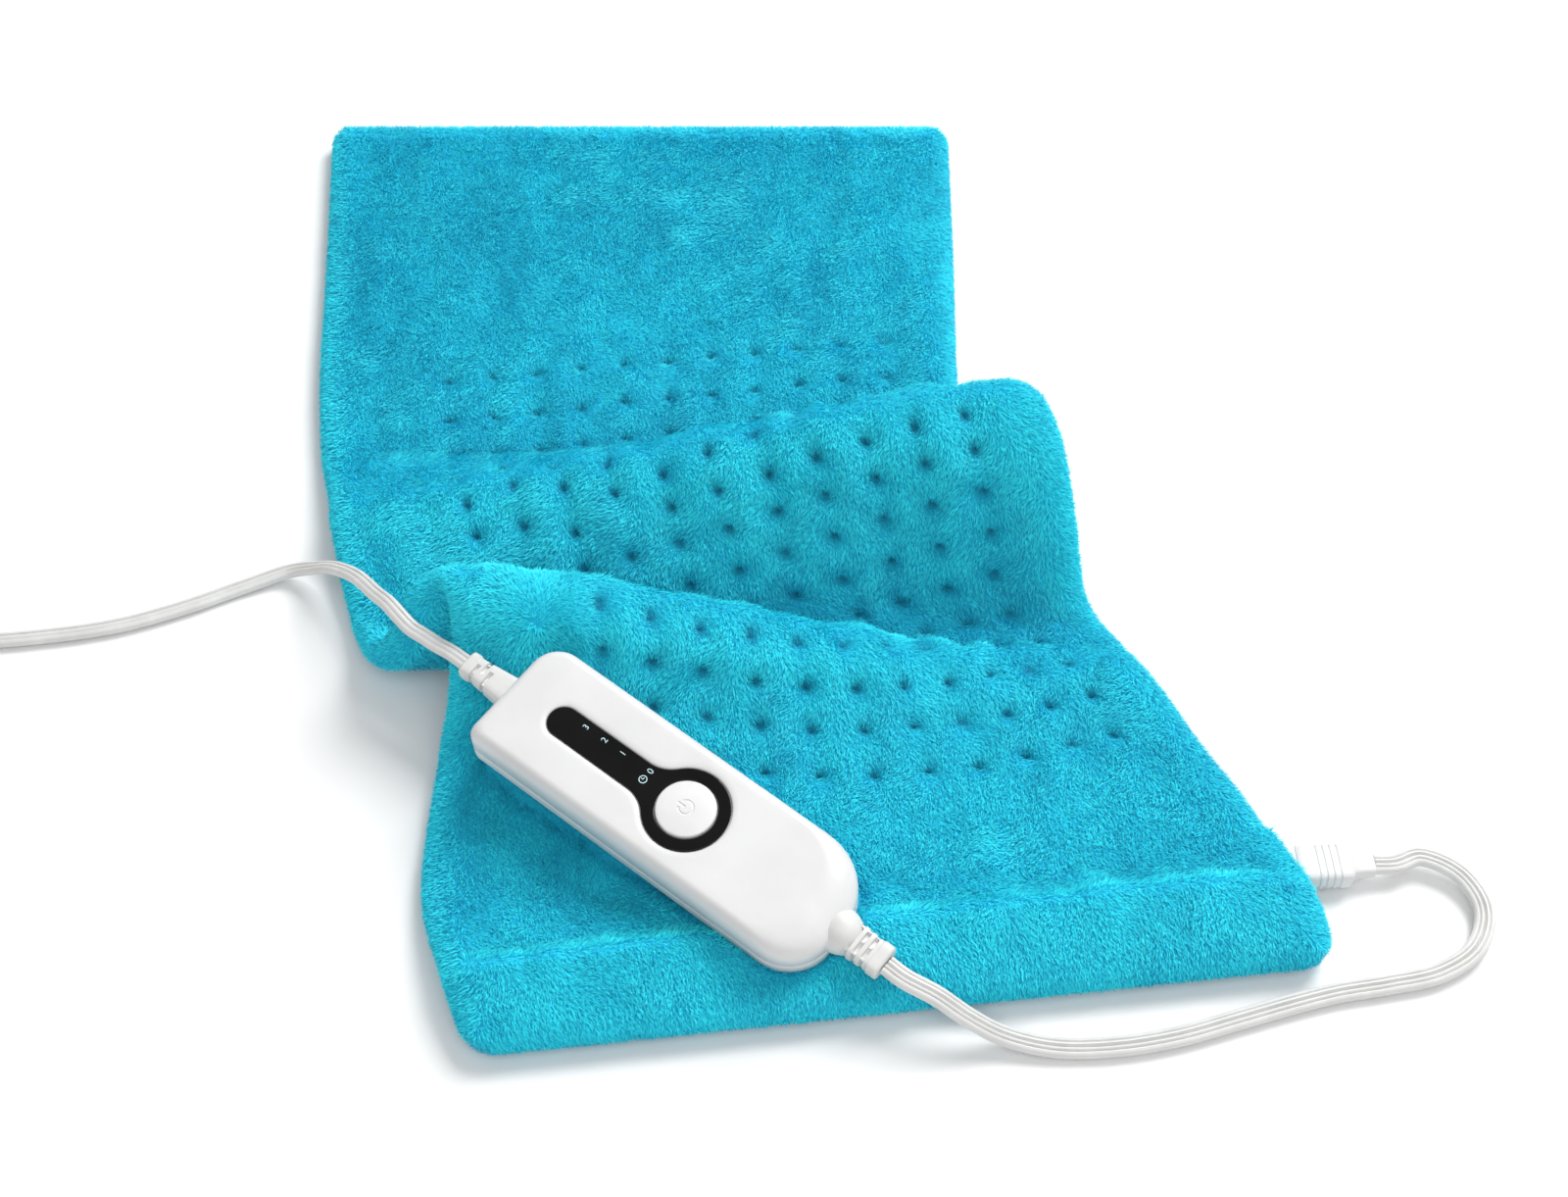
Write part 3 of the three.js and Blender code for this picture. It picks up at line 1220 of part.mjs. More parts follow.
// The origin lies on the floor, under the middle of the pad and the controller
const cordPieces = ['mains_cord', 'mains_cord_coil', 'cord_tie', 'mains_plug', 'plug_blade_left',
  'plug_blade_right', 'pad_lead', 'pad_lead_connector'];
part.updateMatrixWorld(true);
const extent = new THREE.Box3();
part.traverse((piece) => {
  if (piece.isMesh && !cordPieces.includes(piece.name)) extent.expandByObject(piece, true);
});
const middle = extent.getCenter(new THREE.Vector3());
part.position.set(-middle.x, -middle.y, -extent.min.z);
console.log('shift', part.position.toArray().map((value) => value.toFixed(2)).join(' '));

export default part;
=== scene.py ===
import math

import bmesh
import bpy
import numpy as np
from mathutils import Matrix, Vector, kdtree, noise
from mathutils.geometry import tessellate_polygon


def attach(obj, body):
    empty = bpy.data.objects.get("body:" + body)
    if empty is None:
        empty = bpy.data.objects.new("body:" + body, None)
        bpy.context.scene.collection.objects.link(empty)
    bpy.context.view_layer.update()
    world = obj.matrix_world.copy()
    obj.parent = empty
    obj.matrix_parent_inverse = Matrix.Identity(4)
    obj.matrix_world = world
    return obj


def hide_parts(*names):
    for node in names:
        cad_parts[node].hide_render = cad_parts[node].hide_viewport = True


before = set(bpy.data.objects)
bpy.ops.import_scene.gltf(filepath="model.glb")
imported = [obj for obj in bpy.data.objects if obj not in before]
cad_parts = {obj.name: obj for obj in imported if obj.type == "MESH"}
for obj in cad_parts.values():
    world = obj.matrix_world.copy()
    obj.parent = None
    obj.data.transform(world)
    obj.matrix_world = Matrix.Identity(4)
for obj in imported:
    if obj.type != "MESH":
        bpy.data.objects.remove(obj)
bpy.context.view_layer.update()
scene = bpy.context.scene
scene.view_settings.view_transform = "Standard"

# The camera stands in front of the pad and looks down on it at 49 degrees, as for a table-top
# picture, far enough off that the pad narrows only a little towards the back.
MM = 0.001
LENS_SHARE = 2350 / 1600
CAMERA_TILT = 49
SENSOR_WIDTH = 36
camera = bpy.data.objects.new("camera", bpy.data.cameras.new("camera"))
scene.collection.objects.link(camera)
scene.camera = camera
camera.data.sensor_width = SENSOR_WIDTH
camera.data.lens = SENSOR_WIDTH * LENS_SHARE
camera.data.clip_end = 20
camera.location = Vector((12.46, -663.87, 714.5)) * MM
camera.rotation_euler = (math.radians(90 - CAMERA_TILT), 0, 0)

# Mains cord: three cores side by side in soft white vinyl, so it is flat with two grooves along
# each face. It leaves the boot on the controller's upper end, drops over the pad's side to the
# table and ends in a wound coil with its plug. It is extruded in one length.
CASE_LENGTH = 155
CASE_WIDTH = 50
CASE_HEIGHT = 20
RELIEF_AXIS = 9.2
TOUCH_GAP = 0.3
CASE_TURN = -38.6
case_up = Vector((-math.tan(math.radians(1.4)), -math.tan(math.radians(10.6)), 1)).normalized()
case_heading = Vector((math.cos(math.radians(CASE_TURN)), math.sin(math.radians(CASE_TURN)), 0))
case_across = case_up.cross(case_heading).normalized()
case_along = case_across.cross(case_up)
CASE_ORIGIN = Vector((-28.04, -171.96, 24.5))
case_seat = Matrix.Translation(CASE_ORIGIN) @ Matrix(
    (case_along, case_across, case_up)).transposed().to_4x4()


def linear(code):
    """A colour written as sRGB hex, as linear light."""
    parts = [int(code[k:k + 2], 16) / 255 for k in (1, 3, 5)]
    return [c / 12.92 if c <= 0.04045 else ((c + 0.055) / 1.055) ** 2.4 for c in parts] + [1]


def add(tree, kind, *values, out=0, **options):
    """A new node's output. Its inputs take the values, and the options whose names start with a
    capital, as numbers, colours or other nodes' outputs. Its settings take the other options."""
    node = tree.nodes.new(kind)
    given = dict(enumerate(values))
    for key, value in options.items():
        if key[0].isupper():
            given[key.replace("_", " ")] = value
        else:
            setattr(node, key, value)
    for key, value in given.items():
        if isinstance(value, bpy.types.NodeSocket):
            tree.links.new(value, node.inputs[key])
        elif value is not None:
            node.inputs[key].default_value = value
    return node if out is None else node.outputs[out]


def new_finish(name, slots, **shader_values):
    """A material with one Principled shader whose constant sockets are set."""
    finish = bpy.data.materials.new(name)
    finish.use_nodes = True
    for key, value in shader_values.items():
        finish.node_tree.nodes["Principled BSDF"].inputs[key.replace("_", " ")].default_value = value
    finish["record_slot"] = slots
    return finish


def feed(finish, name, output):
    """Links an output to one socket of a finish's shader."""
    finish.node_tree.links.new(output, finish.node_tree.nodes["Principled BSDF"].inputs[name])


def texture(finish, kind, out=0, mapping=None, **options):
    """A pattern in the object's own coordinates, which a mapping can stretch or turn."""
    tree = finish.node_tree
    place = add(tree, "ShaderNodeTexCoord", out="Object")
    if mapping:
        place = add(tree, "ShaderNodeMapping", Vector=place, **mapping)
    return add(tree, "ShaderNodeTex" + kind, Vector=place, out=out, **options)


def ramp(finish, factor, *stops):
    """A ramp between sRGB colours at their places."""
    node = add(finish.node_tree, "ShaderNodeValToRGB", out=None, Fac=factor)
    while len(node.color_ramp.elements) < len(stops):
        node.color_ramp.elements.new(0.5)
    for element, (place, code) in zip(node.color_ramp.elements, stops):
        element.position = place
        element.color = linear(code)
    return node.outputs["Color"]


def colour(finish, factor, *stops):
    """The base colour as a ramp over a pattern."""
    feed(finish, "Base Color", ramp(finish, factor, *stops))


def mix(finish, share, first, second):
    """A colour between two others; a mix node keeps its colour sockets after five others."""
    return add(finish.node_tree, "ShaderNodeMix", share, *[None] * 5, first, second,
               data_type="RGBA", out=2)


def roughen(finish, factor, least, most):
    """Roughness that follows a pattern."""
    feed(finish, "Roughness", add(finish.node_tree, "ShaderNodeMapRange", Value=factor,
                                  To_Min=least, To_Max=most))


def bump(finish, height, strength, depth):
    """Relief of a height pattern, with its depth in metres."""
    feed(finish, "Normal", add(finish.node_tree, "ShaderNodeBump", Strength=strength, Distance=depth,
                               Height=height))


def put(name, data):
    """An object of its data, in the scene."""
    thing = bpy.data.objects.new(name, data)
    scene.collection.objects.link(thing)
    return thing


def dress(name, mesh, finish, smooth_angle, body="pad_and_controller"):
    """A piece of a mesh, with its finish and the body that it rides on."""
    mesh.materials.append(finish)
    mesh.shade_smooth()
    mesh.set_sharp_from_angle(angle=math.radians(smooth_angle))
    piece = put(name, mesh)
    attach(piece, body)
    return piece


def new_piece(name, vertices, faces, finish, smooth_angle):
    """A piece of vertices in millimetres and outward faces."""
    mesh = bpy.data.meshes.new(name)
    mesh.from_pydata([tuple(v * MM) for v in vertices], [], [tuple(f) for f in faces])
    mesh.validate()
    return dress(name, mesh, finish, smooth_angle)


def cover_node(finish, *nodes):
    """Gives CAD pieces that are seen as they are their finish."""
    for node in nodes:
        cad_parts[node].data.materials.clear()
        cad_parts[node].data.materials.append(finish)


def turned(ring):
    """A ring from its second place on, to pair each place with the next."""
    return ring[1:] + ring[:1]


def band(near, far):
    """The faces between two rings of equal count."""
    return list(zip(near, turned(near), turned(far), far))


def loft(rings):
    """Vertices and faces of a closed skin through rings of equal count that turn anticlockwise."""
    count = len(rings[0])
    ids = [list(range(i * count, (i + 1) * count)) for i in range(len(rings))]
    faces = [face for near, far in zip(ids, ids[1:]) for face in band(near, far)]
    return [point for ring in rings for point in ring], faces + [tuple(reversed(ids[0])), tuple(ids[-1])]


def angles(count):
    return [2 * math.pi * k / count for k in range(count)]


def powered(value, power):
    """A power that keeps the sign, for outlines between a circle and a box."""
    return math.copysign(abs(value) ** power, value)


def spline_place(a, b, c, d, spans, t):
    """The place at a share t from b to c on a centripetal spline, with the spans' square roots."""
    ta, tb, tc = spans
    start = ((b - a) / ta - (c - a) / (ta + tb) + (c - b) / tb) * tb
    end = ((c - b) / tb - (d - b) / (tb + tc) + (d - c) / tc) * tb
    return b + t * (start + t * (3 * (c - b) - 2 * start - end + t * (2 * (b - c) + start + end)))


def smooth_route(points, step=2.5, share_count=24):
    """Evenly spaced places on a spline through points."""
    p = [Vector(q) for q in points]
    p = [2 * p[0] - p[1], *p, 2 * p[-1] - p[-2]]
    dense = []
    for i in range(1, len(p) - 2):
        around = p[i - 1:i + 3]
        spans = [(v - u).length ** 0.5 for u, v in zip(around, around[1:])]
        dense += [spline_place(*around, spans, k / share_count) for k in range(share_count)]
    dense.append(p[-2])
    run = np.concatenate([[0], np.cumsum([(v - u).length for u, v in zip(dense, dense[1:])])])
    places = np.linspace(0, run[-1], max(2, round(run[-1] / step) + 1))
    flat = np.array(dense)
    return [Vector([np.interp(s, run, flat[:, k]) for k in range(3)]) for s in places]


def ribbed_section(width, thickness, ribs, groove=0.7):
    """A flat cord's section: a rounded bar whose two faces have grooves between its cores."""
    section = []
    for angle in angles(16 * ribs):
        x, y = powered(math.cos(angle), 0.75), powered(math.sin(angle), 0.6)
        between_cores = (1 - abs(math.sin(math.pi * (x + 1) / 2 * ribs))) ** 3
        dent = groove * between_cores if abs(x) < 0.86 else 0
        section.append((x * width / 2, y * (thickness / 2) * (1 - dent)))
    return section


def flat_cord(name, route, section, finish):
    """A tube of one section along a route, with its flat side level."""
    rings = []
    for i, place in enumerate(route):
        tangent = (route[min(i + 1, len(route) - 1)] - route[max(i - 1, 0)]).normalized()
        level = Vector((0, 0, 1)).cross(tangent).normalized()
        rise = tangent.cross(level)
        rings.append([place + level * x + rise * y for x, y in section])
    return new_piece(name, *loft(rings), finish, 60)


def relief_exit(end, reach, drop, slope, distance):
    """A place on a cord, straight out of its boot by a distance past the boot's reach."""
    return case_seat @ Vector((end * (reach + distance), 0, RELIEF_AXIS + drop + slope * distance))


def on_table(x, run, z):
    """A place given from the pad's back edge, in the part's frame."""
    return Vector((x - 58.54, 259.63 - run, z))


MAINS_SIZE = (6.4, 4)
MAINS_CORES = 3
MAINS_BOOT_LENGTH = 22
MAINS_RELIEF_REACH = CASE_LENGTH / 2 + TOUCH_GAP + MAINS_BOOT_LENGTH
STRAIGHT_RUN = 8
COIL_TURNS = 10.25
COIL_LAYERS = 4
COIL_PITCH = 7
COIL_LAYER_PITCH = 4.7
COIL_RADIUS = 36
COIL_CENTRE = on_table(-314, 284, 0)
COIL_FLOOR = 3.4
COIL_STEPS = 40
TAIL_STEP = 4
TAIL_FALL_START = 24
TAIL_FALL_LENGTH = 34
PLUG_AXIS_HEIGHT = 7
layer_turns = COIL_TURNS / COIL_LAYERS
mains_points = [relief_exit(-1, MAINS_RELIEF_REACH, 0, 0, d) for d in (TOUCH_GAP, STRAIGHT_RUN)]
mains_points += [on_table(*p) for p in (
    (-61, 362.5, 42.6), (-66.5, 358.5, 43), (-71.4, 355.3, 43.8), (-76, 351, 45.8), (-81.5, 342.5, 43),
    (-89, 330.5, 35.5), (-100, 314, 27), (-111, 303, 19.5), (-121, 295, 10.5), (-133, 291.5, 4.6),
    (-151, 298, 2.4), (-173, 309, 2.4), (-199, 319, 2.4), (-230, 325, 2.4), (-261, 328, 2.5),
    (-284, 328.9, 3.3), (-300, 329.2, 3.5))]


def coil_place(turn):
    """A place on the coil: a steady spiral in and out, four layers high."""
    layer = min(COIL_LAYERS - 1, int(turn / layer_turns))
    into = turn - layer * layer_turns
    inward = into if layer % 2 == 0 else layer_turns - into
    radius = COIL_RADIUS + COIL_PITCH * (layer_turns / 2 - inward)
    rises = [min(1, max(0, (turn - k * layer_turns) * 2 + 0.5)) for k in range(1, COIL_LAYERS)]
    height = COIL_FLOOR + COIL_LAYER_PITCH * sum(r * r * (3 - 2 * r) for r in rises)
    angle = -math.pi / 2 - 2 * math.pi * turn
    return COIL_CENTRE + Vector((radius * math.cos(angle), radius * math.sin(angle), height))


coil_count = round(COIL_TURNS * COIL_STEPS)
coil_places = [coil_place(COIL_TURNS * k / coil_count) for k in range(coil_count + 1)]
mains_free = smooth_route(mains_points + [coil_places[0] + Vector((2 * TAIL_STEP, 0, 0))])
coil_top = coil_places[-1]
tail = [coil_top + Vector((0, k * TAIL_STEP, 0)) for k in (1, 2, 3)]
for k in range(9):
    share = k / 8
    fall = share * share * (3 - 2 * share)
    tail.append(Vector((coil_top.x, coil_top.y + TAIL_FALL_START + TAIL_FALL_LENGTH * share,
                        coil_top.z + (PLUG_AXIS_HEIGHT - coil_top.z) * fall)))
tail.append(tail[-1] + Vector((0, 2 * TAIL_STEP, 0)))
mains_route = mains_free + [coil_places[0] + Vector((TAIL_STEP, 0, 0))] + coil_places + tail

# Soft PVC cord jacket, extruded: an even warm white with a satin skin and a faint drawn grain along it.
vinyl = new_finish("extruded_white_vinyl", "white_vinyl", Roughness=0.42, IOR=1.53,
                   Specular_IOR_Level=0.4)
colour(vinyl, texture(vinyl, "Noise", Scale=120, Detail=3), (0.3, "#d9d9d7"), (0.7, "#e3e3e1"))
bump(vinyl, texture(vinyl, "Noise", Scale=2600, Detail=2), 0.25, 0.00006)

mains_cord = flat_cord("mains_cord_ribbed", mains_route, ribbed_section(*MAINS_SIZE, MAINS_CORES), vinyl)
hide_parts("mains_cord", "mains_cord_coil")

# Pad lead: four cores, a little wider than the mains cord. It leaves the boot on the lower end,
# swings round the pad's front corner on the table and goes into the connector in the pad's side.
LEAD_SIZE = (7.6, 4.2)
LEAD_CORES = 4
LEAD_BOOT_LENGTH = 19
LEAD_RELIEF_REACH = CASE_LENGTH / 2 + TOUCH_GAP + LEAD_BOOT_LENGTH
LEAD_DROOP = 1
lead_slope = -2 * LEAD_DROOP / LEAD_BOOT_LENGTH
lead_points = [relief_exit(1, LEAD_RELIEF_REACH, -LEAD_DROOP, lead_slope, d)
               for d in (TOUCH_GAP, STRAIGHT_RUN)]
lead_points += [on_table(*p) for p in (
    (124, 502, 19), (136, 507, 12), (148, 510, 5.5), (166, 513, 2.6), (188, 512.5, 2.5),
    (210, 508.5, 2.5), (231, 502, 2.5), (250, 496, 2.5), (268, 491, 2.5), (287, 487.5, 2.6),
    (306, 483, 2.9), (321, 473, 3.5), (327, 457, 4.3), (321, 442, 5.2), (307, 434.6, 6.1))]
SOCKET_PLACE = Vector((200.4, -180.19, 6.5))
SOCKET_AXIS = Vector((0.999, 0.038, 0))
CONNECTOR_REACH = 30.3
lead_points += [SOCKET_PLACE + SOCKET_AXIS * (CONNECTOR_REACH + d) for d in (STRAIGHT_RUN, TOUCH_GAP)]
lead_route = smooth_route(lead_points)
pad_lead = flat_cord("pad_lead_ribbed", lead_route, ribbed_section(*LEAD_SIZE, LEAD_CORES), vinyl)
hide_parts("pad_lead")

# Plug: a moulded body of the same vinyl round two flat brass blades. Its tail has cut-outs that
# let it bend, its shoulders are rounded, and each side has a hollow for the finger and thumb.
plug_seat = Matrix.Translation(mains_route[-1] + Vector((0, TOUCH_GAP, 0))) @ Matrix.Rotation(
    math.pi / 2, 4, "Z")


def soft_box_ring(x, width, height, power, sides=32):
    """A rounded rectangle's outline across the X axis."""
    return [Vector((x, powered(math.cos(a), power) * width / 2, powered(math.sin(a), power) * height / 2))
            for a in angles(sides)]


plug_profile = (
    (0, 7.6, 5.2, 0.8), (0.6, 8.4, 6, 0.8), (2.6, 8.8, 6.3, 0.8), (2.9, 7.2, 4.9, 0.8),
    (4.1, 7.3, 5, 0.8), (4.4, 9.2, 6.7, 0.8), (6.2, 9.6, 7, 0.8), (6.5, 7.8, 5.4, 0.8),
    (7.7, 7.9, 5.5, 0.8), (8, 10, 7.4, 0.8), (9.8, 10.4, 7.8, 0.8), (10.1, 8.6, 6.2, 0.8),
    (11.3, 8.8, 6.3, 0.8), (11.6, 11, 8.2, 0.8), (13.4, 11.6, 8.6, 0.78), (14.6, 14, 9.6, 0.7),
    (15.8, 18, 11.2, 0.6), (17.2, 21.4, 12.8, 0.55), (18.8, 23.2, 13.7, 0.5),
    (21, 23.4, 13.9, 0.48), (24, 21.8, 13.9, 0.48), (28, 21, 13.9, 0.48), (32, 21.8, 13.9, 0.48),
    (35, 23.4, 14, 0.46), (37.6, 24, 14, 0.45), (39.3, 23.9, 13.9, 0.45), (40, 22.6, 12.6, 0.5))
plug_rings = [[plug_seat @ p for p in soft_box_ring(*row)] for row in plug_profile]
plug = new_piece("mains_plug_moulded", *loft(plug_rings), vinyl, 50)
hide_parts("mains_plug")

# Plug blades, folded from brass strip and left bright: a warm yellow metal with fine drawn lines.
brass = new_finish("drawn_brass_strip", "brass", Metallic=1, Roughness=0.28)
brass_grain = texture(brass, "Noise", mapping={"Scale": (9000, 300, 9000)}, Scale=1, Detail=2)
colour(brass, brass_grain, (0.3, "#c2a15a"), (0.7, "#d8ba74"))
bump(brass, brass_grain, 0.2, 0.00003)
cover_node(brass, "plug_blade_left", "plug_blade_right", "switch_plunger")

# Cord tie: a strap of black woven hook-and-loop tape closed round the coil. The weave is drawn at
# 0.8 mm a thread, a little coarser than real, so that it shows.
tie_cloth = new_finish("black_woven_tape", "tie_cloth", Roughness=0.9)
tie_warp = texture(tie_cloth, "Wave", out="Fac", bands_direction="Y", Scale=390, Distortion=0.6)
tie_weft = texture(tie_cloth, "Wave", out="Fac", bands_direction="DIAGONAL", Scale=300, Distortion=0.6)
tie_height = add(tie_cloth.node_tree, "ShaderNodeMath", tie_warp, tie_weft, operation="MULTIPLY")
colour(tie_cloth, tie_height, (0, "#101012"), (1, "#2c2c30"))
bump(tie_cloth, tie_height, 0.8, 0.0002)
cover_node(tie_cloth, "cord_tie")

# Pad: two layers of plush sewn edge to edge round soft wadding, closed as one form. It lies flat
# at the back, rises in two slanting folds that run out at opposite sides, and ends in a low hem.
PAD_WIDTH = 305
PAD_LENGTH = 610
PAD_HALF = 7
PILE_DEPTH = 1.1
SHEET_REST = 6.5
RIM = 12
CORNER_RADIUS = 11
GRID_STEP = 1.8
HEM_CREST = 30
HEM_RISE = 3.4
HEM_BEAD = 0.7
HEM_BEAD_WIDTH = 3
HEM_FALL = 7
PIT_RADIUS = 2.1
PIT_DEPTH = 3.6
DIMPLE_RADIUS = 5.8
DIMPLE_DEPTH = 2.1
# Each swell: its height, its reach across and along, and the seed of its noise
SWELLS = ((2.0, 22, 100, 3.1), (1.3, 17, 26, 8.4), (0.7, 8, 9, 1.7))
FILLED_RISE = 0.9
CREST_SHARE = 0.5
CREASE_MOST = 2.5
CREST_MOST = 0.8
FOLD_HEIGHTS = np.array([0, 74, 48, 4])
# Each station: the left edge's place across, run and rise, the right edge's, and its fold
STATIONS = np.array([
    (-0.498, 0.003, 0, 0.498, 0.003, 0, 0), (-0.466, 0.164, 0, 0.492, 0.159, 0, 0),
    (-0.44, 0.303, 0, 0.485, 0.298, 0, 0), (-0.416, 0.38, 0, 0.489, 0.387, 0.03, 1),
    (-0.403, 0.405, 0.03, 0.511, 0.411, 0.46, 1), (-0.393, 0.425, 0.05, 0.538, 0.423, 0.82, 1),
    (-0.387, 0.443, 0.07, 0.567, 0.438, 1, 1), (-0.377, 0.462, 0.05, 0.59, 0.462, 0.91, 1),
    (-0.364, 0.487, 0.03, 0.613, 0.492, 0.53, 1), (-0.348, 0.513, 0, 0.63, 0.515, 0.15, 1),
    (-0.331, 0.539, 0, 0.652, 0.53, 0.04, 2), (-0.305, 0.564, 0.18, 0.672, 0.546, 0.02, 2),
    (-0.277, 0.565, 0.41, 0.685, 0.559, 0.04, 2), (-0.239, 0.556, 0.85, 0.698, 0.572, 0.08, 2),
    (-0.205, 0.562, 1, 0.711, 0.585, 0.1, 2), (-0.185, 0.574, 0.99, 0.731, 0.603, 0.08, 2),
    (-0.187, 0.605, 0.45, 0.761, 0.631, 0.02, 2), (-0.2, 0.643, 0.08, 0.8, 0.666, 0, 2),
    (-0.203, 0.741, 0, 0.849, 0.721, 0, 0), (-0.167, 0.802, 1, 0.872, 0.752, 1, 3),
    (-0.128, 0.851, 0, 0.882, 0.79, 0, 0)])
LAST_STATION = len(STATIONS) - 1
SHIFT = np.array((-58.54, 259.63, 0))


def ease(t):
    t = np.clip(t, 0, 1)
    return t * t * (3 - 2 * t)


def station_place(index, u):
    row = STATIONS[index]
    fold = row[..., 6].astype(int)
    fade = np.select([fold == 1, fold == 2], [(u + ease(u)) / 2, ease((u - 0.04) / 0.84)], u)
    return np.stack([PAD_WIDTH * (row[..., 0] + (row[..., 3] - row[..., 0]) * u),
                     -PAD_LENGTH * (row[..., 1] + (row[..., 4] - row[..., 1]) * u),
                     SHEET_REST + FOLD_HEIGHTS[fold] * (row[..., 2] + (row[..., 5] - row[..., 2]) * fade)],
                    -1)


def sheet_place(u, s):
    """The pad's middle surface at a share across and a station number along."""
    index = np.clip(np.floor(s).astype(int), 0, LAST_STATION - 1)
    t = (s - index)[..., None]
    b, c = station_place(index, u), station_place(index + 1, u)
    a = np.where((index > 0)[..., None], station_place(np.maximum(index - 1, 0), u), 2 * b - c)
    d = np.where((index < LAST_STATION - 1)[..., None],
                 station_place(np.minimum(index + 2, LAST_STATION), u), 2 * c - b)
    spans = [np.sqrt(np.linalg.norm(q - p, axis=-1, keepdims=True)) for p, q in ((a, b), (b, c), (c, d))]
    return spline_place(a, b, c, d, spans, t)


def unit(v):
    return v / np.maximum(np.linalg.norm(v, axis=-1, keepdims=True), 1e-9)


run_stations = np.linspace(0, LAST_STATION, LAST_STATION * 24 + 1)


def run_table(u):
    places = sheet_place(np.full_like(run_stations, u), run_stations)
    return np.concatenate([[0], np.cumsum(np.linalg.norm(np.diff(places, axis=0), axis=1))])


middle_length = run_table(0.5)[-1]
EVEN_END = 60


def station_at(u, r):
    """The station number at a run r from the back edge, measured along the pad at u."""
    table = run_table(u)
    true_run = r + (table[-1] - middle_length) * ease((r - EVEN_END) / (middle_length - 2 * EVEN_END))
    return np.interp(true_run, table, run_stations)


RIM_LINES = [0, 0.5, 1.3, 2.4, 3.8, 5.5, 7.4, 9.4, 11.4, 13.2, 15]


def grid_lines(length):
    """Places along a side, close together round both rims."""
    inside = length - 2 * RIM_LINES[-1]
    even = np.linspace(RIM_LINES[-1], length - RIM_LINES[-1], round(inside / GRID_STEP))
    return np.array(RIM_LINES + list(even)[1:-1] + [length - d for d in reversed(RIM_LINES)])


x_lines, r_lines = grid_lines(PAD_WIDTH), grid_lines(middle_length)
grid_x, grid_r = np.meshgrid(x_lines, r_lines)
edge_x = np.minimum(grid_x, PAD_WIDTH - grid_x)
edge_r = np.minimum(grid_r, middle_length - grid_r)

# The skin is drawn in under the pile at the rim, and the plan's corners are rounded
draw_in = PILE_DEPTH * (1 - np.minimum(edge_x, RIM) / RIM)
from_side = np.clip(1 - edge_x / CORNER_RADIUS, 0, 1)
from_end = np.clip(1 - edge_r / CORNER_RADIUS, 0, 1)
sideways = CORNER_RADIUS * from_side * (1 - np.sqrt(1 - from_end ** 2 / 2))
endways = CORNER_RADIUS * from_end * (1 - np.sqrt(1 - from_side ** 2 / 2))
side_sign = np.where(grid_x < PAD_WIDTH / 2, 1, -1)
end_sign = np.where(grid_r < middle_length / 2, 1, -1)
plan_x = grid_x + side_sign * (draw_in + sideways)
plan_r = grid_r + end_sign * (PILE_DEPTH * (1 - np.minimum(edge_r, RIM) / RIM) + endways)
grid_u = plan_x / PAD_WIDTH
grid_s = np.empty_like(grid_u)
for column in range(len(x_lines)):
    moved = np.abs(sideways[:, column]) > 0
    grid_s[:, column] = station_at(grid_u[len(r_lines) // 2, column], plan_r[:, column])
    for k in np.nonzero(moved)[0]:
        grid_s[k, column] = station_at(grid_u[k, column], plan_r[k:k + 1, column])[0]

middle = sheet_place(grid_u, grid_s)
TINY = 1e-3
forward = unit(sheet_place(grid_u, np.minimum(grid_s + TINY, LAST_STATION))
               - sheet_place(grid_u, np.maximum(grid_s - TINY, 0)))
across = unit(sheet_place(grid_u + TINY, grid_s) - sheet_place(grid_u - TINY, grid_s))
normal = unit(np.cross(forward, across))

# The tufts: rows of 11 sewn through the middle stretch only, a little askew to the edges. Each row
# has its run at the first and at the last tuft; where the folds crowd them, some are left out.
TUFT_FIRST = 62
TUFT_PITCH = 20.8
TUFTS_IN_ROW = 11
TUFTS_LEAST_APART = 11
TUFT_ROWS = ((184, 157), (208, 180), (233, 196), (266, 222), (278, 246), (286, 271), (292, 296),
             (297, 320), (313, 333), (331, 349), (351, 366), (371, 384), (391, 403), (411, 423),
             (425, 441), (444, 457), (465, 476))
tufts = []
tuft_shares = [(TUFT_FIRST + TUFT_PITCH * c) / PAD_WIDTH for c in range(TUFTS_IN_ROW)]
column_runs = [run_table(u) for u in tuft_shares]
for left_run, right_run in TUFT_ROWS:
    for c, (u, table) in enumerate(zip(tuft_shares, column_runs)):
        run = left_run + (right_run - left_run) * c / (TUFTS_IN_ROW - 1)
        place = sheet_place(np.array([u]), np.array([np.interp(run, table, run_stations)]))[0]
        if all(np.linalg.norm(place - other) > TUFTS_LEAST_APART for other in tufts):
            tufts.append(place)


def nearest(places):
    """A tree that finds the nearest of some places."""
    tree = kdtree.KDTree(len(places))
    for k, place in enumerate(places):
        tree.insert(place, k)
    tree.balance()
    return tree


tuft_tree = nearest(tufts)
tuft_distance = np.array([tuft_tree.find(p)[2] for p in middle.reshape(-1, 3)]).reshape(grid_x.shape)


def cloud(x_scale, r_scale, seed):
    """Smooth noise over the pad's flat plan, in lengths of millimetres."""
    return np.array([noise.noise(Vector((x / x_scale, r / r_scale, seed)))
                     for x, r in zip(grid_x.ravel(), grid_r.ravel())]).reshape(grid_x.shape)


def clouds(waves):
    """A sum of such noises, each with its height first."""
    return sum(height * cloud(*wave) for height, *wave in waves)


edge = np.minimum(edge_x, edge_r)
drop = 1 - np.minimum(RIM, edge) / RIM
dome = np.sqrt(np.clip(1 - drop ** 2, 0, 1))
field = ease((edge - RIM - 1) / RIM)
pit = np.exp(-(tuft_distance / PIT_RADIUS) ** 2)
dimple = np.exp(-(tuft_distance / DIMPLE_RADIUS) ** 2)
swell = clouds(SWELLS)
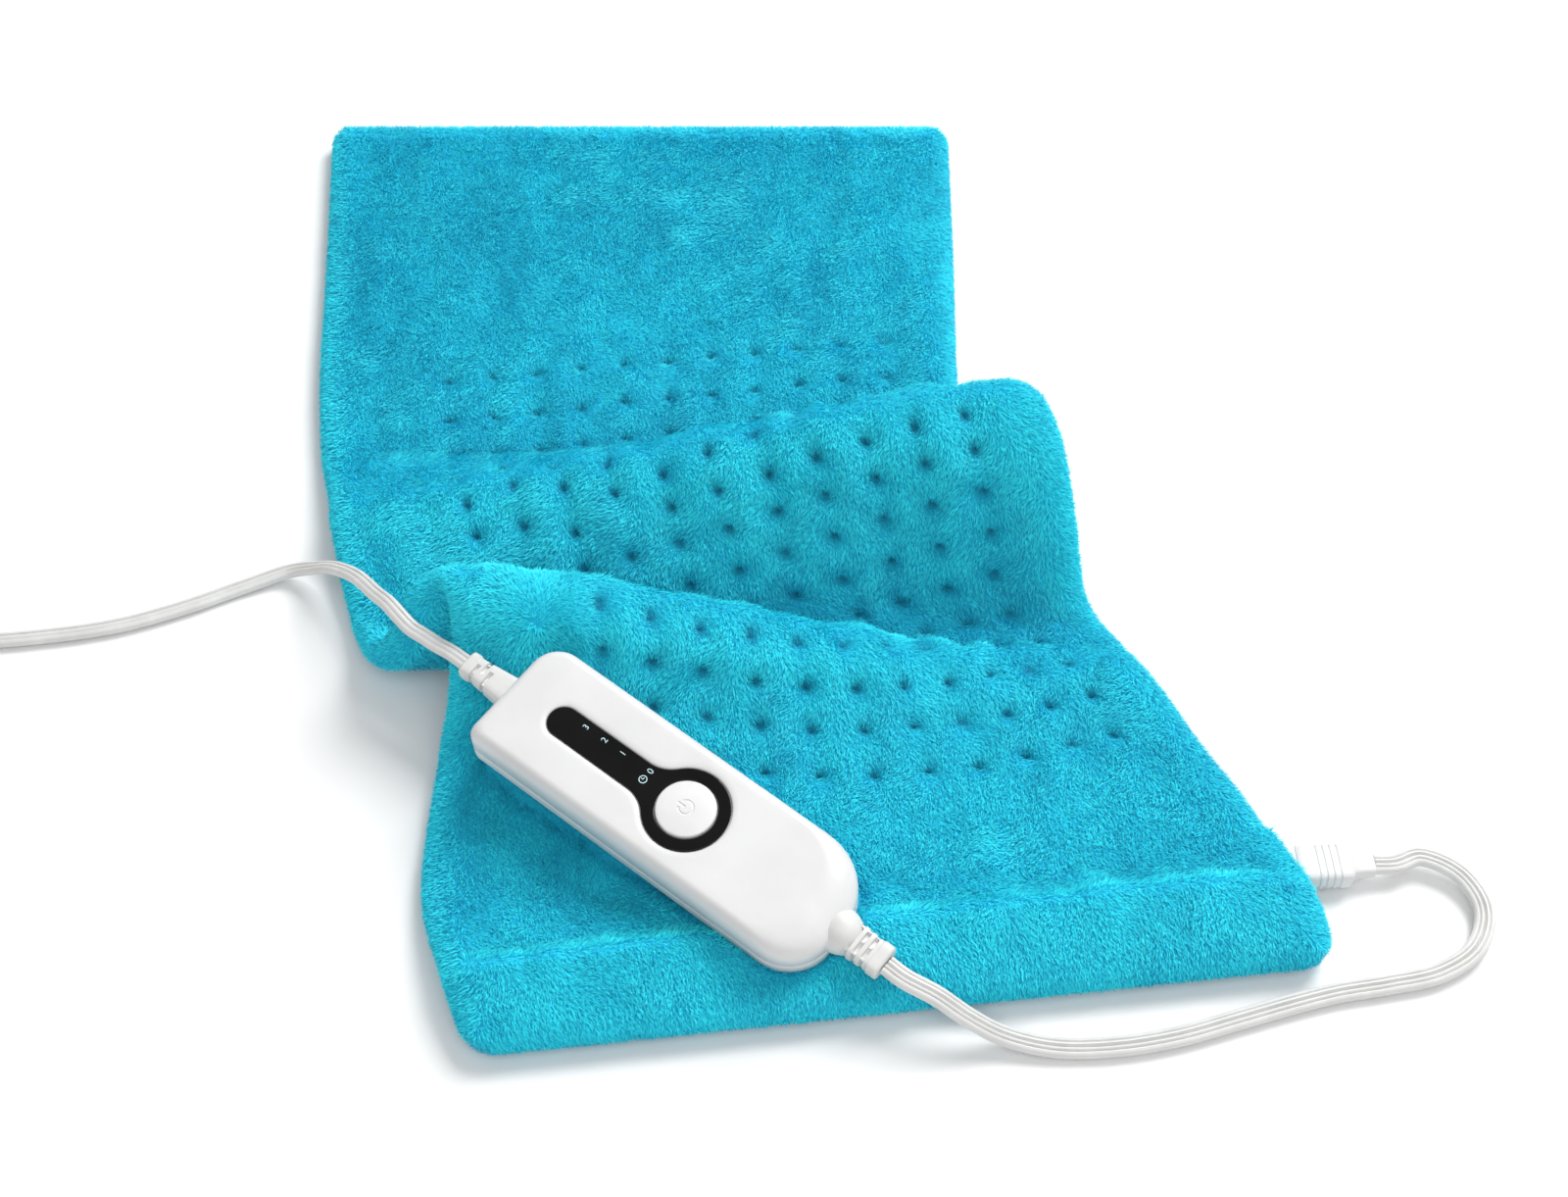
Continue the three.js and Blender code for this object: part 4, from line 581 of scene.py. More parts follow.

# How far each place stands above its surroundings: the crests of the folds are drawn up and the creases
# behind them are drawn in, and the same measure later gives the crests a painted highlight and the creases
# painted shade. The hem is rolled over a cord.
from_front = middle_length - grid_r
past_crest = from_front - HEM_CREST
side_fade = ease(edge_x / 22)


def spread(values, reach):
    """The mean of the values within a reach of grid steps."""
    count = 2 * reach + 1
    for axis in (0, 1):
        padded = np.pad(values, [(reach, reach) if k == axis else (0, 0) for k in (0, 1)], mode="edge")
        sums = np.cumsum(np.insert(padded, 0, 0, axis=axis), axis=axis)
        values = (np.take(sums, range(count, sums.shape[axis]), axis)
                  - np.take(sums, range(sums.shape[axis] - count), axis)) / count
    return values


standing = (middle[..., 2] - spread(spread(middle[..., 2], 6), 6)) * ease((edge - 4) / 14)
hem_roll = HEM_RISE * (ease(from_front / HEM_CREST) - ease(past_crest / HEM_FALL)) \
    + HEM_BEAD * np.exp(-(past_crest / HEM_BEAD_WIDTH) ** 2)
upper_level = (PAD_HALF - PILE_DEPTH) * dome + field * (swell + FILLED_RISE) - PIT_DEPTH * pit \
    - DIMPLE_DEPTH * dimple + hem_roll * side_fade \
    + np.clip(CREST_SHARE * standing, -CREASE_MOST, CREST_MOST)
lower_level = -(PAD_HALF - PILE_DEPTH) * dome - 0.3 * field * cloud(30, 30, 5.5)

# What is sewn inside keeps the layers apart: the wire, its carrier, the cut-outs and the socket
SAMPLE_STEP = 2.5
SKIN_ROOM = 0.6
FLOOR_ROOM = 0.25
grid_tree = nearest(middle.reshape(-1, 3))
flat_middle, flat_normal = middle.reshape(-1, 3), normal.reshape(-1, 3)
above, below = np.zeros(grid_x.size), np.zeros(grid_x.size)
for name in ("heating_wire", "heater_carrier_sheet", "pad_connector_socket", "thermostat_left",
             "thermostat_right", "thermal_fuse"):
    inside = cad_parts[name]
    inside.data.calc_loop_triangles()
    corners = np.array([inside.matrix_world @ v.co for v in inside.data.vertices]) / MM - SHIFT
    for triangle in inside.data.loop_triangles:
        a, b, c = corners[list(triangle.vertices)]
        steps = int(max(np.linalg.norm(side) for side in (b - a, c - b, a - c)) / SAMPLE_STEP) + 1
        i, j = np.mgrid[0:steps + 1, 0:steps + 1]
        kept = i + j <= steps
        for spot in a + ((b - a) * i[kept][:, None] + (c - a) * j[kept][:, None]) / steps:
            k = grid_tree.find(spot)[1]
            height = float((spot - flat_middle[k]) @ flat_normal[k])
            above[k] = max(above[k], height)
            below[k] = max(below[k], -height)
above, below = above.reshape(grid_x.shape), below.reshape(grid_x.shape)
for _ in range(3):
    for room in (above, below):
        wide = np.pad(room, 1, mode="edge")
        room[:] = np.max([wide[1 + a:wide.shape[0] - 1 + a, 1 + b:wide.shape[1] - 1 + b]
                          for a in (-1, 0, 1) for b in (-1, 0, 1)], axis=0)
upper_level = np.maximum(upper_level, spread(above, 1) + SKIN_ROOM)
lower_level = np.minimum(lower_level, -spread(below, 1) - SKIN_ROOM)
upper = middle + normal * upper_level[..., None] + SHIFT
lower = middle + normal * lower_level[..., None] + SHIFT
lower[..., 2] = np.maximum(lower[..., 2], FLOOR_ROOM)

# Under the controller the plush is pressed down to its base, with a soft shoulder round it
PRESS_GAP = 0.6
PRESS_INSET = 1.5
PRESS_SLOPE = 1.1
PRESS_REACH = 9
CASE_ROUND_LEAD = 19.0
CASE_ROUND_MAINS = 8.0
seat_matrix = np.array(case_seat.inverted())
in_case = upper @ seat_matrix[:3, :3].T + seat_matrix[:3, 3]
corner = np.where(in_case[..., 0] > 0, CASE_ROUND_LEAD, CASE_ROUND_MAINS)
q = np.abs(in_case[..., :2]) - np.stack([CASE_LENGTH / 2 - corner, CASE_WIDTH / 2 - corner], -1)
case_distance = np.linalg.norm(np.maximum(q, 0), axis=-1) + np.minimum(q.max(-1), 0) - corner
highest = -PRESS_GAP + PRESS_SLOPE * np.maximum(case_distance + PRESS_INSET, 0)
pressed = np.where(case_distance < PRESS_REACH, np.minimum(0, highest - in_case[..., 2]), 0)
upper = upper + np.array(case_up) * pressed[..., None]

# The nap lies towards the front, wanders in swirls, lies along the slopes behind the folds and
# turns outwards at the edges
NAP_WANDERS = ((0.9, 75, 75, 12.5), (1.3, 14, 18, 6.2))
SLOPE_TURN = 1.75
SWIRL_AT = (0.12, 15.2)
SWIRL_RADIUS = 48
SWIRL_PULL = 1.4
EDGE_TURN_REACH = 20
EDGE_HOLD = 0.7
EDGE_PULL = 1.2
skin_forward = unit(np.gradient(upper, axis=0))
turn = clouds(NAP_WANDERS) + SLOPE_TURN * ease((skin_forward[..., 2] - 0.08) / 0.3)
nap = np.cos(turn)[..., None] * forward + np.sin(turn)[..., None] * across
nearer_side = edge_x < edge_r
outward = (nearer_side * -side_sign)[..., None] * across + (~nearer_side * -end_sign)[..., None] * forward
swirl_offset = middle - sheet_place(*[np.array([share]) for share in SWIRL_AT])[0]
swirl = ease(1 - np.linalg.norm(swirl_offset, axis=-1) / SWIRL_RADIUS)[..., None]
nap = unit(nap * (1 - swirl) + unit(swirl_offset) * swirl * SWIRL_PULL)
near_edge = ease(1 - edge / EDGE_TURN_REACH)[..., None]
nap = unit(nap * (1 - EDGE_HOLD * near_edge) + outward * near_edge * EDGE_PULL)

# Tone of the pile, from 0 deep to 1 pale: clouded at random, with a painted highlight on crests and along
# the hem's crest, and painted shade in creases and beside the controller
TONE_CLOUDS = ((0.35, 22, 60, 20.3), (0.3, 9, 12, 30.9))
TONE_MEAN = 0.6
hem_painted_highlight = np.exp(-((past_crest - 2) / 3.5) ** 2)
painted_shade_beside_case = ease(1 - case_distance / 4)
tone_and_painted_light = np.clip(TONE_MEAN + clouds(TONE_CLOUDS) + np.clip(standing / 4, -0.5, 0.7)
               + 0.5 * hem_painted_highlight - 0.5 * painted_shade_beside_case, 0, 1)

rows, columns = grid_x.shape
upper_ids = np.arange(rows * columns).reshape(rows, columns)
inner = np.zeros_like(upper_ids, bool)
inner[1:-1, 1:-1] = True
lower_ids = upper_ids.copy()
lower_ids[inner] = rows * columns + np.arange(inner.sum())
pad_vertices = np.concatenate([upper.reshape(-1, 3), lower[inner]]) * MM


def quads(ids, flip):
    corners = [ids[:-1, :-1], ids[1:, :-1], ids[1:, 1:], ids[:-1, 1:]]
    return np.stack(corners[::-1] if flip else corners, -1).reshape(-1, 4)


pad_faces = np.concatenate([quads(upper_ids, False), quads(lower_ids, True)])
pad_mesh = bpy.data.meshes.new("pad_plush")
pad_mesh.from_pydata(pad_vertices.tolist(), [], pad_faces.tolist())
pad_mesh.shade_smooth()


def store(name, upper_values, lower_values):
    """A value for each vertex of the skin, for the pile to read."""
    kind = "FLOAT_VECTOR" if upper_values.ndim == 3 else "FLOAT"
    attribute = pad_mesh.attributes.new(name, kind, "POINT")
    values = np.concatenate([upper_values.reshape(rows * columns, -1),
                             lower_values[inner].reshape(inner.sum(), -1)])
    attribute.data.foreach_set("vector" if kind == "FLOAT_VECTOR" else "value",
                               values.astype(np.float32).ravel())


edge_thin = ease(1 - edge / 7)
lower_cover = np.maximum(0.55 * ease((lower[..., 2] - 1.5) / 3),
                         0.9 * ease(1 - edge / 12) * ease((lower[..., 2] - 0.8) / 2))
store("nap", nap, nap)
store("cover", np.where(case_distance < -1.2, 0.0, 1.0), lower_cover)
# The pit values only darken colour: painted shade in the tuft pits
store("pit", np.clip(0.8 * pit + 0.12 * dimple, 0, 1), np.zeros_like(pit))
# These values carry the random clouds together with the painted highlights and painted shade
store("tone_and_painted_light", tone_and_painted_light, tone_and_painted_light)
store("length", 1 - 0.6 * pit - 0.2 * dimple - 0.2 * edge_thin, 1 - 0.25 * edge_thin)

# Plush skin under the pile: a warp knit of the same dye, seen only as gaps between tufts of fibre, duller
# than the pile and faintly pebbled; its colour is painted a little deeper than the pile's as shade in
# those gaps.
backing = new_finish("dyed_plush_backing", "plush", Roughness=0.95)
backing_speck = texture(backing, "Noise", Scale=900, Detail=3)
backing_knit = ramp(backing, backing_speck, (0.35, "#16bce2"), (0.65, "#22d2f0"))


def stored(finish, name):
    """A value that the skin's vertices or the blades carry, for a shader."""
    return add(finish.node_tree, "ShaderNodeAttribute", attribute_name=name, out="Fac")


# Painted shade: the skin in the tuft pits is darkened to a deep blue
feed(backing, "Base Color", mix(backing, stored(backing, "pit"), backing_knit, linear("#08648c")))
bump(backing, backing_speck, 0.8, 0.0006)

# Plush pile: crimped polyester microfibre, cut short and brushed. Each drawn blade is a lock of many
# fibres, painted darker at the root where light doesn't reach and paler towards its lit tip: painted shade
# and painted light.
pile = new_finish("brushed_microfibre_pile", "plush", Roughness=0.6, Sheen_Weight=0.7,
                  Sheen_Roughness=0.35, Sheen_Tint=linear("#45dcff"), Specular_IOR_Level=0.2)
tip, shade, painted_pit_shade, stored_tone_and_painted_light = [stored(pile, name) for name in ("tip", "shade", "pit", "tone_and_painted_light")]
along_blade = ramp(pile, tip, (0, "#16c0ec"), (0.45, "#2aeeff"), (1, "#46f6ff"))
# Each lock's random shade and the stored values of painted highlight and painted shade draw the blade's
# colour towards a deep blue where they are low
lit = add(pile.node_tree, "ShaderNodeMapRange", From_Min=0, From_Max=1.5, To_Min=0, To_Max=1,
          Value=add(pile.node_tree, "ShaderNodeMath", shade, stored_tone_and_painted_light, operation="ADD"))
pile_colour = mix(pile, lit, linear("#109cc6"), along_blade)
# Painted shade: the pile in the tuft pits is darkened to a deep blue
feed(pile, "Base Color", mix(pile, painted_pit_shade, pile_colour, linear("#0d88b2")))

# A blade is a kite 2.7 mm long and 0.44 mm wide, rooted a little under the skin and bent forwards
blade_mesh = bpy.data.meshes.new("pile_blade")
blade_mesh.from_pydata([Vector(p) * MM for p in ((0, 0, -0.2), (0.8, -0.22, 1), (0.8, 0.22, 1),
                                                 (2.5, 0, 1.5))], [], [(0, 1, 2), (1, 3, 2)])
blade_tip = blade_mesh.attributes.new("tip", "FLOAT", "POINT")
blade_tip.data.foreach_set("value", [0, 0.5, 0.5, 1])
blade = put("pile_blade", blade_mesh)
pile_maker = bpy.data.node_groups.new("pile_maker", "GeometryNodeTree")
for name, kind in (("Skin", "NodeSocketGeometry"), ("Blade", "NodeSocketObject"),
                   ("Blades per square metre", "NodeSocketFloat"), ("Least size", "NodeSocketFloat"),
                   ("Most size", "NodeSocketFloat"), ("Lean", "NodeSocketFloat"),
                   ("Seed", "NodeSocketInt")):
    pile_maker.interface.new_socket(name, in_out="INPUT", socket_type=kind)
pile_maker.interface.new_socket("Plush", in_out="OUTPUT", socket_type="NodeSocketGeometry")
given = add(pile_maker, "NodeGroupInput", out=None).outputs


def grow(kind, *values, **options):
    return add(pile_maker, kind, *values, **options)


def carried(name, kind="FLOAT"):
    """A value that the skin's vertices carry, for the growing."""
    return grow("GeometryNodeInputNamedAttribute", data_type=kind, Name=name)


roots = grow("GeometryNodeDistributePointsOnFaces", distribute_method="RANDOM", Mesh=given["Skin"],
             Density=grow("ShaderNodeMath", given["Blades per square metre"], carried("cover"),
                          operation="MULTIPLY"), Seed=given["Seed"], out=None).outputs
upright = grow("FunctionNodeAlignRotationToVector", axis="Z", Vector=roots["Normal"])
combed = grow("FunctionNodeAlignRotationToVector", axis="X", pivot_axis="Z", Rotation=upright,
              Vector=carried("nap", "FLOAT_VECTOR"))
least_lean = grow("ShaderNodeMath", given["Lean"], -1, operation="MULTIPLY")
lean_range = [grow("ShaderNodeCombineXYZ", end, end, end) for end in (least_lean, given["Lean"])]
lean = grow("FunctionNodeRandomValue", *lean_range, data_type="FLOAT_VECTOR", Seed=given["Seed"])
leaning = grow("FunctionNodeRotateRotation", rotation_space="LOCAL", Rotation=combed,
               Rotate_By=grow("FunctionNodeEulerToRotation", lean))
size = grow("FunctionNodeRandomValue", None, None, given["Least size"], given["Most size"],
            data_type="FLOAT", Seed=given["Seed"], out=1)
locks = grow("GeometryNodeInstanceOnPoints", Points=roots["Points"], Rotation=leaning,
             Instance=grow("GeometryNodeObjectInfo", Object=given["Blade"], out="Geometry"),
             Scale=grow("ShaderNodeMath", size, carried("length"), operation="MULTIPLY"))
lock_shade = grow("FunctionNodeRandomValue", None, None, 0.0, 1.0, data_type="FLOAT", Seed=7, out=1)
shaded = grow("GeometryNodeStoreNamedAttribute", data_type="FLOAT", domain="INSTANCE", Geometry=locks,
              Name="shade", Value=lock_shade)
real_locks = grow("GeometryNodeRealizeInstances", Geometry=shaded)
both = grow("GeometryNodeJoinGeometry", out=None)
for part, finish in ((given["Skin"], backing), (real_locks, pile)):
    pile_maker.links.new(grow("GeometryNodeSetMaterial", Geometry=part, Material=finish),
                         both.inputs["Geometry"])
grow("NodeGroupOutput", both.outputs["Geometry"], out=None)


def grown(mesh, name, **values):
    """A plain mesh of the skin with its pile on it."""
    holder = put(name, mesh)
    maker = holder.modifiers.new("pile", "NODES")
    maker.node_group = pile_maker
    for socket in pile_maker.interface.items_tree:
        key = socket.name.replace(" ", "_")
        if socket.in_out == "INPUT" and key in values:
            maker[socket.identifier] = values[key]
    bpy.context.view_layer.update()
    result = bpy.data.meshes.new_from_object(
        holder.evaluated_get(bpy.context.evaluated_depsgraph_get()))
    holder.modifiers.remove(maker)
    holder.data = result
    return holder


pad = grown(pad_mesh, "pad_plush", Blade=blade, Blades_per_square_metre=3.2e6, Least_size=0.7,
            Most_size=1.2, Lean=0.45, Seed=11)
bpy.data.objects.remove(blade)
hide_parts("pad_top_cover", "pad_bottom_cover")
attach(pad, "pad_and_controller")

# Controller: a two-part hand housing moulded in white ABS with a fine satin surface. The lid is
# crowned towards its round lower end; the base carries the board and is screwed on from below.
SEAM_HEIGHT = 7.6
SEAM_GROOVE = 0.45
CASE_WALL = 2
LID_INSIDE = 17
CORNERS = ((1, -1, 18, 15, 9), (1, 1, 23, 19, 9), (-1, 1, 12, 7, 9), (-1, -1, 5, 3.5, 9))
TOP_INSET = (15, 4.5, 4.5)
LID_INNER_INSET = (14, 4, 4)
PANEL_END_X = -50.5
ROUND_STEPS = 24
PANEL_HALF_WIDTH = 6.2
PANEL_RING_RADIUS = 16.3
PANEL_FILLET = 14
PANEL_TOP = 19.6
PANEL_BOTTOM = 18.8
RECESS_FLOOR = 18.5
BUTTON_X = 7.5
BUTTON_HOLE_RADIUS = 11.7

satin = new_finish("moulded_white_abs", "white_plastic", Roughness=0.36, IOR=1.54,
                   Specular_IOR_Level=0.45, Subsurface_Weight=0.04, Subsurface_Scale=0.002)
satin_grain = texture(satin, "Noise", Scale=3800, Detail=1)
colour(satin, texture(satin, "Noise", Scale=35, Detail=3), (0.35, "#dfdfdf"), (0.65, "#e5e5e5"))
roughen(satin, satin_grain, 0.32, 0.42)
bump(satin, satin_grain, 0.18, 0.00004)


def around(x, y, radius, angle, z=0):
    return Vector((x + radius * math.cos(angle), y + radius * math.sin(angle), z))


def case_outline(inset, grown_radius=0, ends=(0, 0, 0)):
    """The housing's outline drawn in by an inset, and further at its lead, mains and long sides."""
    lead, mains, side = ends
    points = []
    for number, (side_x, side_y, radius, inner_radius, steps) in enumerate(CORNERS):
        r = max(radius - inset + grown_radius * (inner_radius - radius), 0.4)
        x = side_x * (CASE_LENGTH / 2 - inset - (lead if side_x > 0 else mains) - r)
        y = side_y * (CASE_WIDTH / 2 - inset - side - r)
        for k in range(steps + 1):
            angle = (number - 1 + k / steps) * math.pi / 2
            points.append(around(x, y, r, angle))
    return points


def at_height(points, height):
    return [Vector((p.x, p.y, height)) for p in points]


def outline_at(inset, height):
    return at_height(case_outline(inset), height)


def domed(outer, inner, low, high, angle):
    """A ring between an outer and an inner one, at an angle up a quarter of an ellipse."""
    share = math.cos(angle)
    return [Vector((b.x + (a.x - b.x) * share, b.y + (a.y - b.y) * share,
                    z + (high - z) * math.sin(angle))) for a, b, z in zip(outer, inner, low)]


def keyhole(grow):
    """The display window's outline: a narrow round end, two fillets and a ring round the button."""
    rise = PANEL_HALF_WIDTH + PANEL_FILLET
    reach = math.sqrt((PANEL_RING_RADIUS + PANEL_FILLET) ** 2 - rise ** 2)
    turn = math.atan2(rise, reach)
    points = []
    for x, y, radius, start, end, count in (
            (PANEL_END_X, 0, PANEL_HALF_WIDTH + grow, math.pi / 2, math.pi * 1.5, ROUND_STEPS),
            (BUTTON_X - reach, -rise, PANEL_FILLET - grow, math.pi / 2, turn, ROUND_STEPS // 2),
            (BUTTON_X, 0, PANEL_RING_RADIUS + grow, math.pi + turn, 3 * math.pi - turn,
             ROUND_STEPS * 2),
            (BUTTON_X - reach, rise, PANEL_FILLET - grow, -turn, -math.pi / 2, ROUND_STEPS // 2)):
        points += [around(x, y, radius, start + (end - start) * k / count) for k in range(count)]
    return points


def round_hole(x, y, radius, z, count=64):
    return [around(x, y, radius, a, z) for a in angles(count)]


def weld(welder, mesh, distance):
    """Joins vertices at one place, turns faces outwards and fills a mesh."""
    bmesh.ops.remove_doubles(welder, verts=welder.verts, dist=distance)
    bmesh.ops.recalc_face_normals(welder, faces=welder.faces)
    welder.to_mesh(mesh)
    welder.free()


def shell_piece(name, chains, caps, finish, smooth_angle=35, **ride):
    """A closed skin from chains of rings joined by bands, and flat caps between ring outlines."""
    welder = bmesh.new()
    for chain in chains:
        rings = [[welder.verts.new(case_seat @ p * MM) for p in ring] for ring in chain]
        for near, far in zip(rings, rings[1:]):
            for face in band(near, far):
                welder.faces.new(face)
    for loops in caps:
        corners = [welder.verts.new(case_seat @ p * MM) for loop in loops for p in loop]
        for triangle in tessellate_polygon(loops):
            welder.faces.new([corners[k] for k in triangle])
    mesh = bpy.data.meshes.new(name)
    weld(welder, mesh, 0.00001)
    return dress(name, mesh, finish, smooth_angle, **ride)


# The lid's outside: from the seam up a straight wall, then over a long soft shoulder to the top.
# Each step of the seam's edge has its inset and its distance from the seam's middle.
SEAM_EDGE = ((SEAM_GROOVE, 0.15), (SEAM_GROOVE, 0.25), (0.1, 0.55), (0, 0.8))
SHOULDER_STEPS = 14
SHOULDER_LOW = 14
SHOULDER_DROP = 2.6
LID_SPRING = 11.5
LID_INNER_STEPS = 6
lid_outer = [outline_at(inset, SEAM_HEIGHT + rise) for inset, rise in SEAM_EDGE]
wall_ring = case_outline(0)
flat_ring = case_outline(0, 1, TOP_INSET)
shoulder = [SHOULDER_LOW - SHOULDER_DROP * max(0, min(1, (p.x - 25) / 50)) ** 1.5 for p in wall_ring]
for k in range(SHOULDER_STEPS + 1):
    lid_outer.append(domed(wall_ring, flat_ring, shoulder, CASE_HEIGHT, math.pi / 2 * k / SHOULDER_STEPS))
rim_profile = ((3.1, 20), (2.6, 19.98), (2.05, 19.92), (1.5, 19.82), (1, 19.68), (0.65, 19.5),
               (0.42, 19.27), (0.3, 19), (0.3, RECESS_FLOOR))
lid_rim = [at_height(keyhole(grow), height) for grow, height in rim_profile]
lid_bore = [round_hole(BUTTON_X, 0, BUTTON_HOLE_RADIUS, z) for z in (RECESS_FLOOR, LID_INSIDE)]
inner_ring = case_outline(CASE_WALL)
inner_flat = case_outline(CASE_WALL, 1, LID_INNER_INSET)
lid_inner = [lid_outer[0], at_height(inner_ring, SEAM_HEIGHT + SEAM_EDGE[0][1])]
for k in range(LID_INNER_STEPS + 1):
    lid_inner.append(domed(inner_ring, inner_flat, [LID_SPRING] * len(inner_ring), LID_INSIDE,
                           math.pi / 2 * k / LID_INNER_STEPS))
lid = shell_piece("controller_lid_moulded", [lid_outer, lid_rim, lid_bore, lid_inner], [
    [lid_outer[-1], lid_rim[0]], [lid_rim[-1], lid_bore[0]], [lid_inner[-1], lid_bore[1]]], satin)
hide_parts("controller_lid")

# The base: a shallow tray with soft lower edges and four screws sunk in round wells
SCREW_X, SCREW_Y = 65.5, 16
WELL_RADIUS = 2.9
WELL_CHAMFER = 0.15
WELL_DEPTH = 2.2
BASE_FLOOR = 2
FOOT_INSET = 2.1
FOOT_CHAMFER = 0.12
FOOT_RISE = 2.9
FOOT_STEPS = 6
screw_wells = [(sx * SCREW_X, sy * SCREW_Y) for sx in (-1, 1) for sy in (-1, 1)]
base_outer = [outline_at(3, 0), outline_at(FOOT_INSET, FOOT_CHAMFER)]
for k in range(1, FOOT_STEPS + 1):
    angle = math.pi / 2 * k / FOOT_STEPS
    base_outer.append(outline_at(FOOT_INSET * (1 - math.sin(angle)) if k < FOOT_STEPS else 0,
                                 FOOT_CHAMFER + FOOT_RISE * (1 - math.cos(angle))))
base_outer += [outline_at(inset, SEAM_HEIGHT - drop) for inset, drop in reversed(SEAM_EDGE)]
base_inner = [base_outer[-1], outline_at(CASE_WALL, SEAM_HEIGHT - SEAM_EDGE[0][1]),
              outline_at(CASE_WALL, BASE_FLOOR + 1.2), outline_at(CASE_WALL + 1, BASE_FLOOR)]
well_steps = ((WELL_RADIUS + WELL_CHAMFER, 0), (WELL_RADIUS, WELL_CHAMFER), (WELL_RADIUS, WELL_DEPTH))
well_chains = [[round_hole(x, y, r, z, 32) for r, z in well_steps] for x, y in screw_wells]
well_floors = [[chain[-1]] for chain in well_chains]
base = shell_piece("controller_base_moulded", [base_outer, base_inner, *well_chains], [
    [base_outer[0], *[chain[0] for chain in well_chains]], [base_inner[-1]], *well_floors], satin)
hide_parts("controller_base")

# Display window: a keyhole plate of smoked acrylic, back-printed black and polished, let into the
# lid a little below its rim. Its edge has a hair of chamfer that catches the light.
window = new_finish("smoked_acrylic_window", "black_gloss", Roughness=0.12, IOR=1.49,
                    Specular_IOR_Level=0.3)
window_haze = texture(window, "Noise", Scale=60, Detail=4)
colour(window, window_haze, (0.3, "#070708"), (0.7, "#0e0e10"))
roughen(window, window_haze, 0.09, 0.16)
# Each step of the polished edge: how far it is drawn in, and its height
WINDOW_EDGE = ((0, PANEL_BOTTOM), (0, PANEL_TOP - 0.15), (0.06, PANEL_TOP - 0.05), (0.18, PANEL_TOP))
window_side = [at_height(keyhole(-inset), z) for inset, z in WINDOW_EDGE]
window_bore = [round_hole(BUTTON_X, 0, BUTTON_HOLE_RADIUS + inset, z)
               for inset, z in reversed(WINDOW_EDGE)]
panel = shell_piece("display_window", [window_side, window_bore], [
    [window_side[-1], window_bore[0]], [window_side[0], window_bore[-1]]], window, 20)
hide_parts("display_panel")

# Printed marks on the window, in pale ink: the three heat levels in plain figures, and a small
# clock face with a nought for the timer. Each is a thin film of ink, a few hundredths thick.
INK_THICKNESS = 0.05
INK_LIFT = 0.005
ink = new_finish("pale_screen_ink", "lens", Roughness=0.55)
colour(ink, texture(ink, "Noise", Scale=2500, Detail=2), (0.3, "#b7e2ea"), (0.7, "#d8f3f7"))
mark_shapes = []
for figure, x, y, height in (("3", -42.6, 3.4, 2.5), ("2", -33.8, 3.4, 2.5), ("1", -25, 3.4, 2.5),
                             ("0", -12.4, 3.9, 2.6)):
    writing = bpy.data.curves.new("figure_" + figure, "FONT")
    writing.body = figure
    writing.resolution_u = 4
    writing.extrude = 0.01
    holder = put("figure_" + figure, writing)
    bpy.context.view_layer.update()
    shape = bpy.data.meshes.new_from_object(
        holder.evaluated_get(bpy.context.evaluated_depsgraph_get()))
    bpy.data.objects.remove(holder)
    spots = np.array([v.co[:] for v in shape.vertices])
    low, high = spots.min(0), spots.max(0)
    scale = height / (high[1] - low[1])
    moved = [case_seat @ Vector((x - (py - (low[1] + high[1]) / 2) * scale,
                                 y + (px - (low[0] + high[0]) / 2) * scale,
                                 PANEL_TOP + (INK_THICKNESS if pz > 0 else INK_LIFT)))
             for px, py, pz in spots]
    mark_shapes.append((moved, [tuple(p.vertices) for p in shape.polygons]))


def ink_bar(points, width):
    """A thin flat stroke through points on the window, cut square at both ends."""
    lows, highs = [], []
    for i, (x, y) in enumerate(points):
        before, after = points[max(i - 1, 0)], points[min(i + 1, len(points) - 1)]
        dx, dy = after[0] - before[0], after[1] - before[1]
        length = math.hypot(dx, dy)
        nx, ny = -dy / length * width / 2, dx / length * width / 2
        lows.append((x - nx, y - ny))
        highs.append((x + nx, y + ny))
    low, high = PANEL_TOP + INK_LIFT, PANEL_TOP + INK_THICKNESS
    return loft([[case_seat @ Vector(p) for p in ((*a, low), (*b, low), (*b, high), (*a, high))]
                 for a, b in zip(lows, highs)])


CLOCK_X, CLOCK_Y, CLOCK_RADIUS = -12.4, -0.2, 1.45
clock = [(CLOCK_X + CLOCK_RADIUS * math.cos(a), CLOCK_Y + CLOCK_RADIUS * math.sin(a))
         for a in [*angles(32), 2 * math.pi]]
hands = (((CLOCK_X - 0.9, CLOCK_Y), (CLOCK_X + 0.15, CLOCK_Y)),
         ((CLOCK_X, CLOCK_Y - 0.1), (CLOCK_X, CLOCK_Y + 0.75)))
mark_shapes += [ink_bar(clock, 0.34), *[ink_bar(hand, 0.3) for hand in hands]]
vertices, faces = [], []
for spots, corners in mark_shapes:
    faces += [tuple(k + len(vertices) for k in face) for face in corners]
    vertices += spots
marks = new_piece("window_marks", vertices, faces, ink, 30)
mesh_tidy = bmesh.new()
mesh_tidy.from_mesh(marks.data)
weld(mesh_tidy, marks.data, 0.000001)

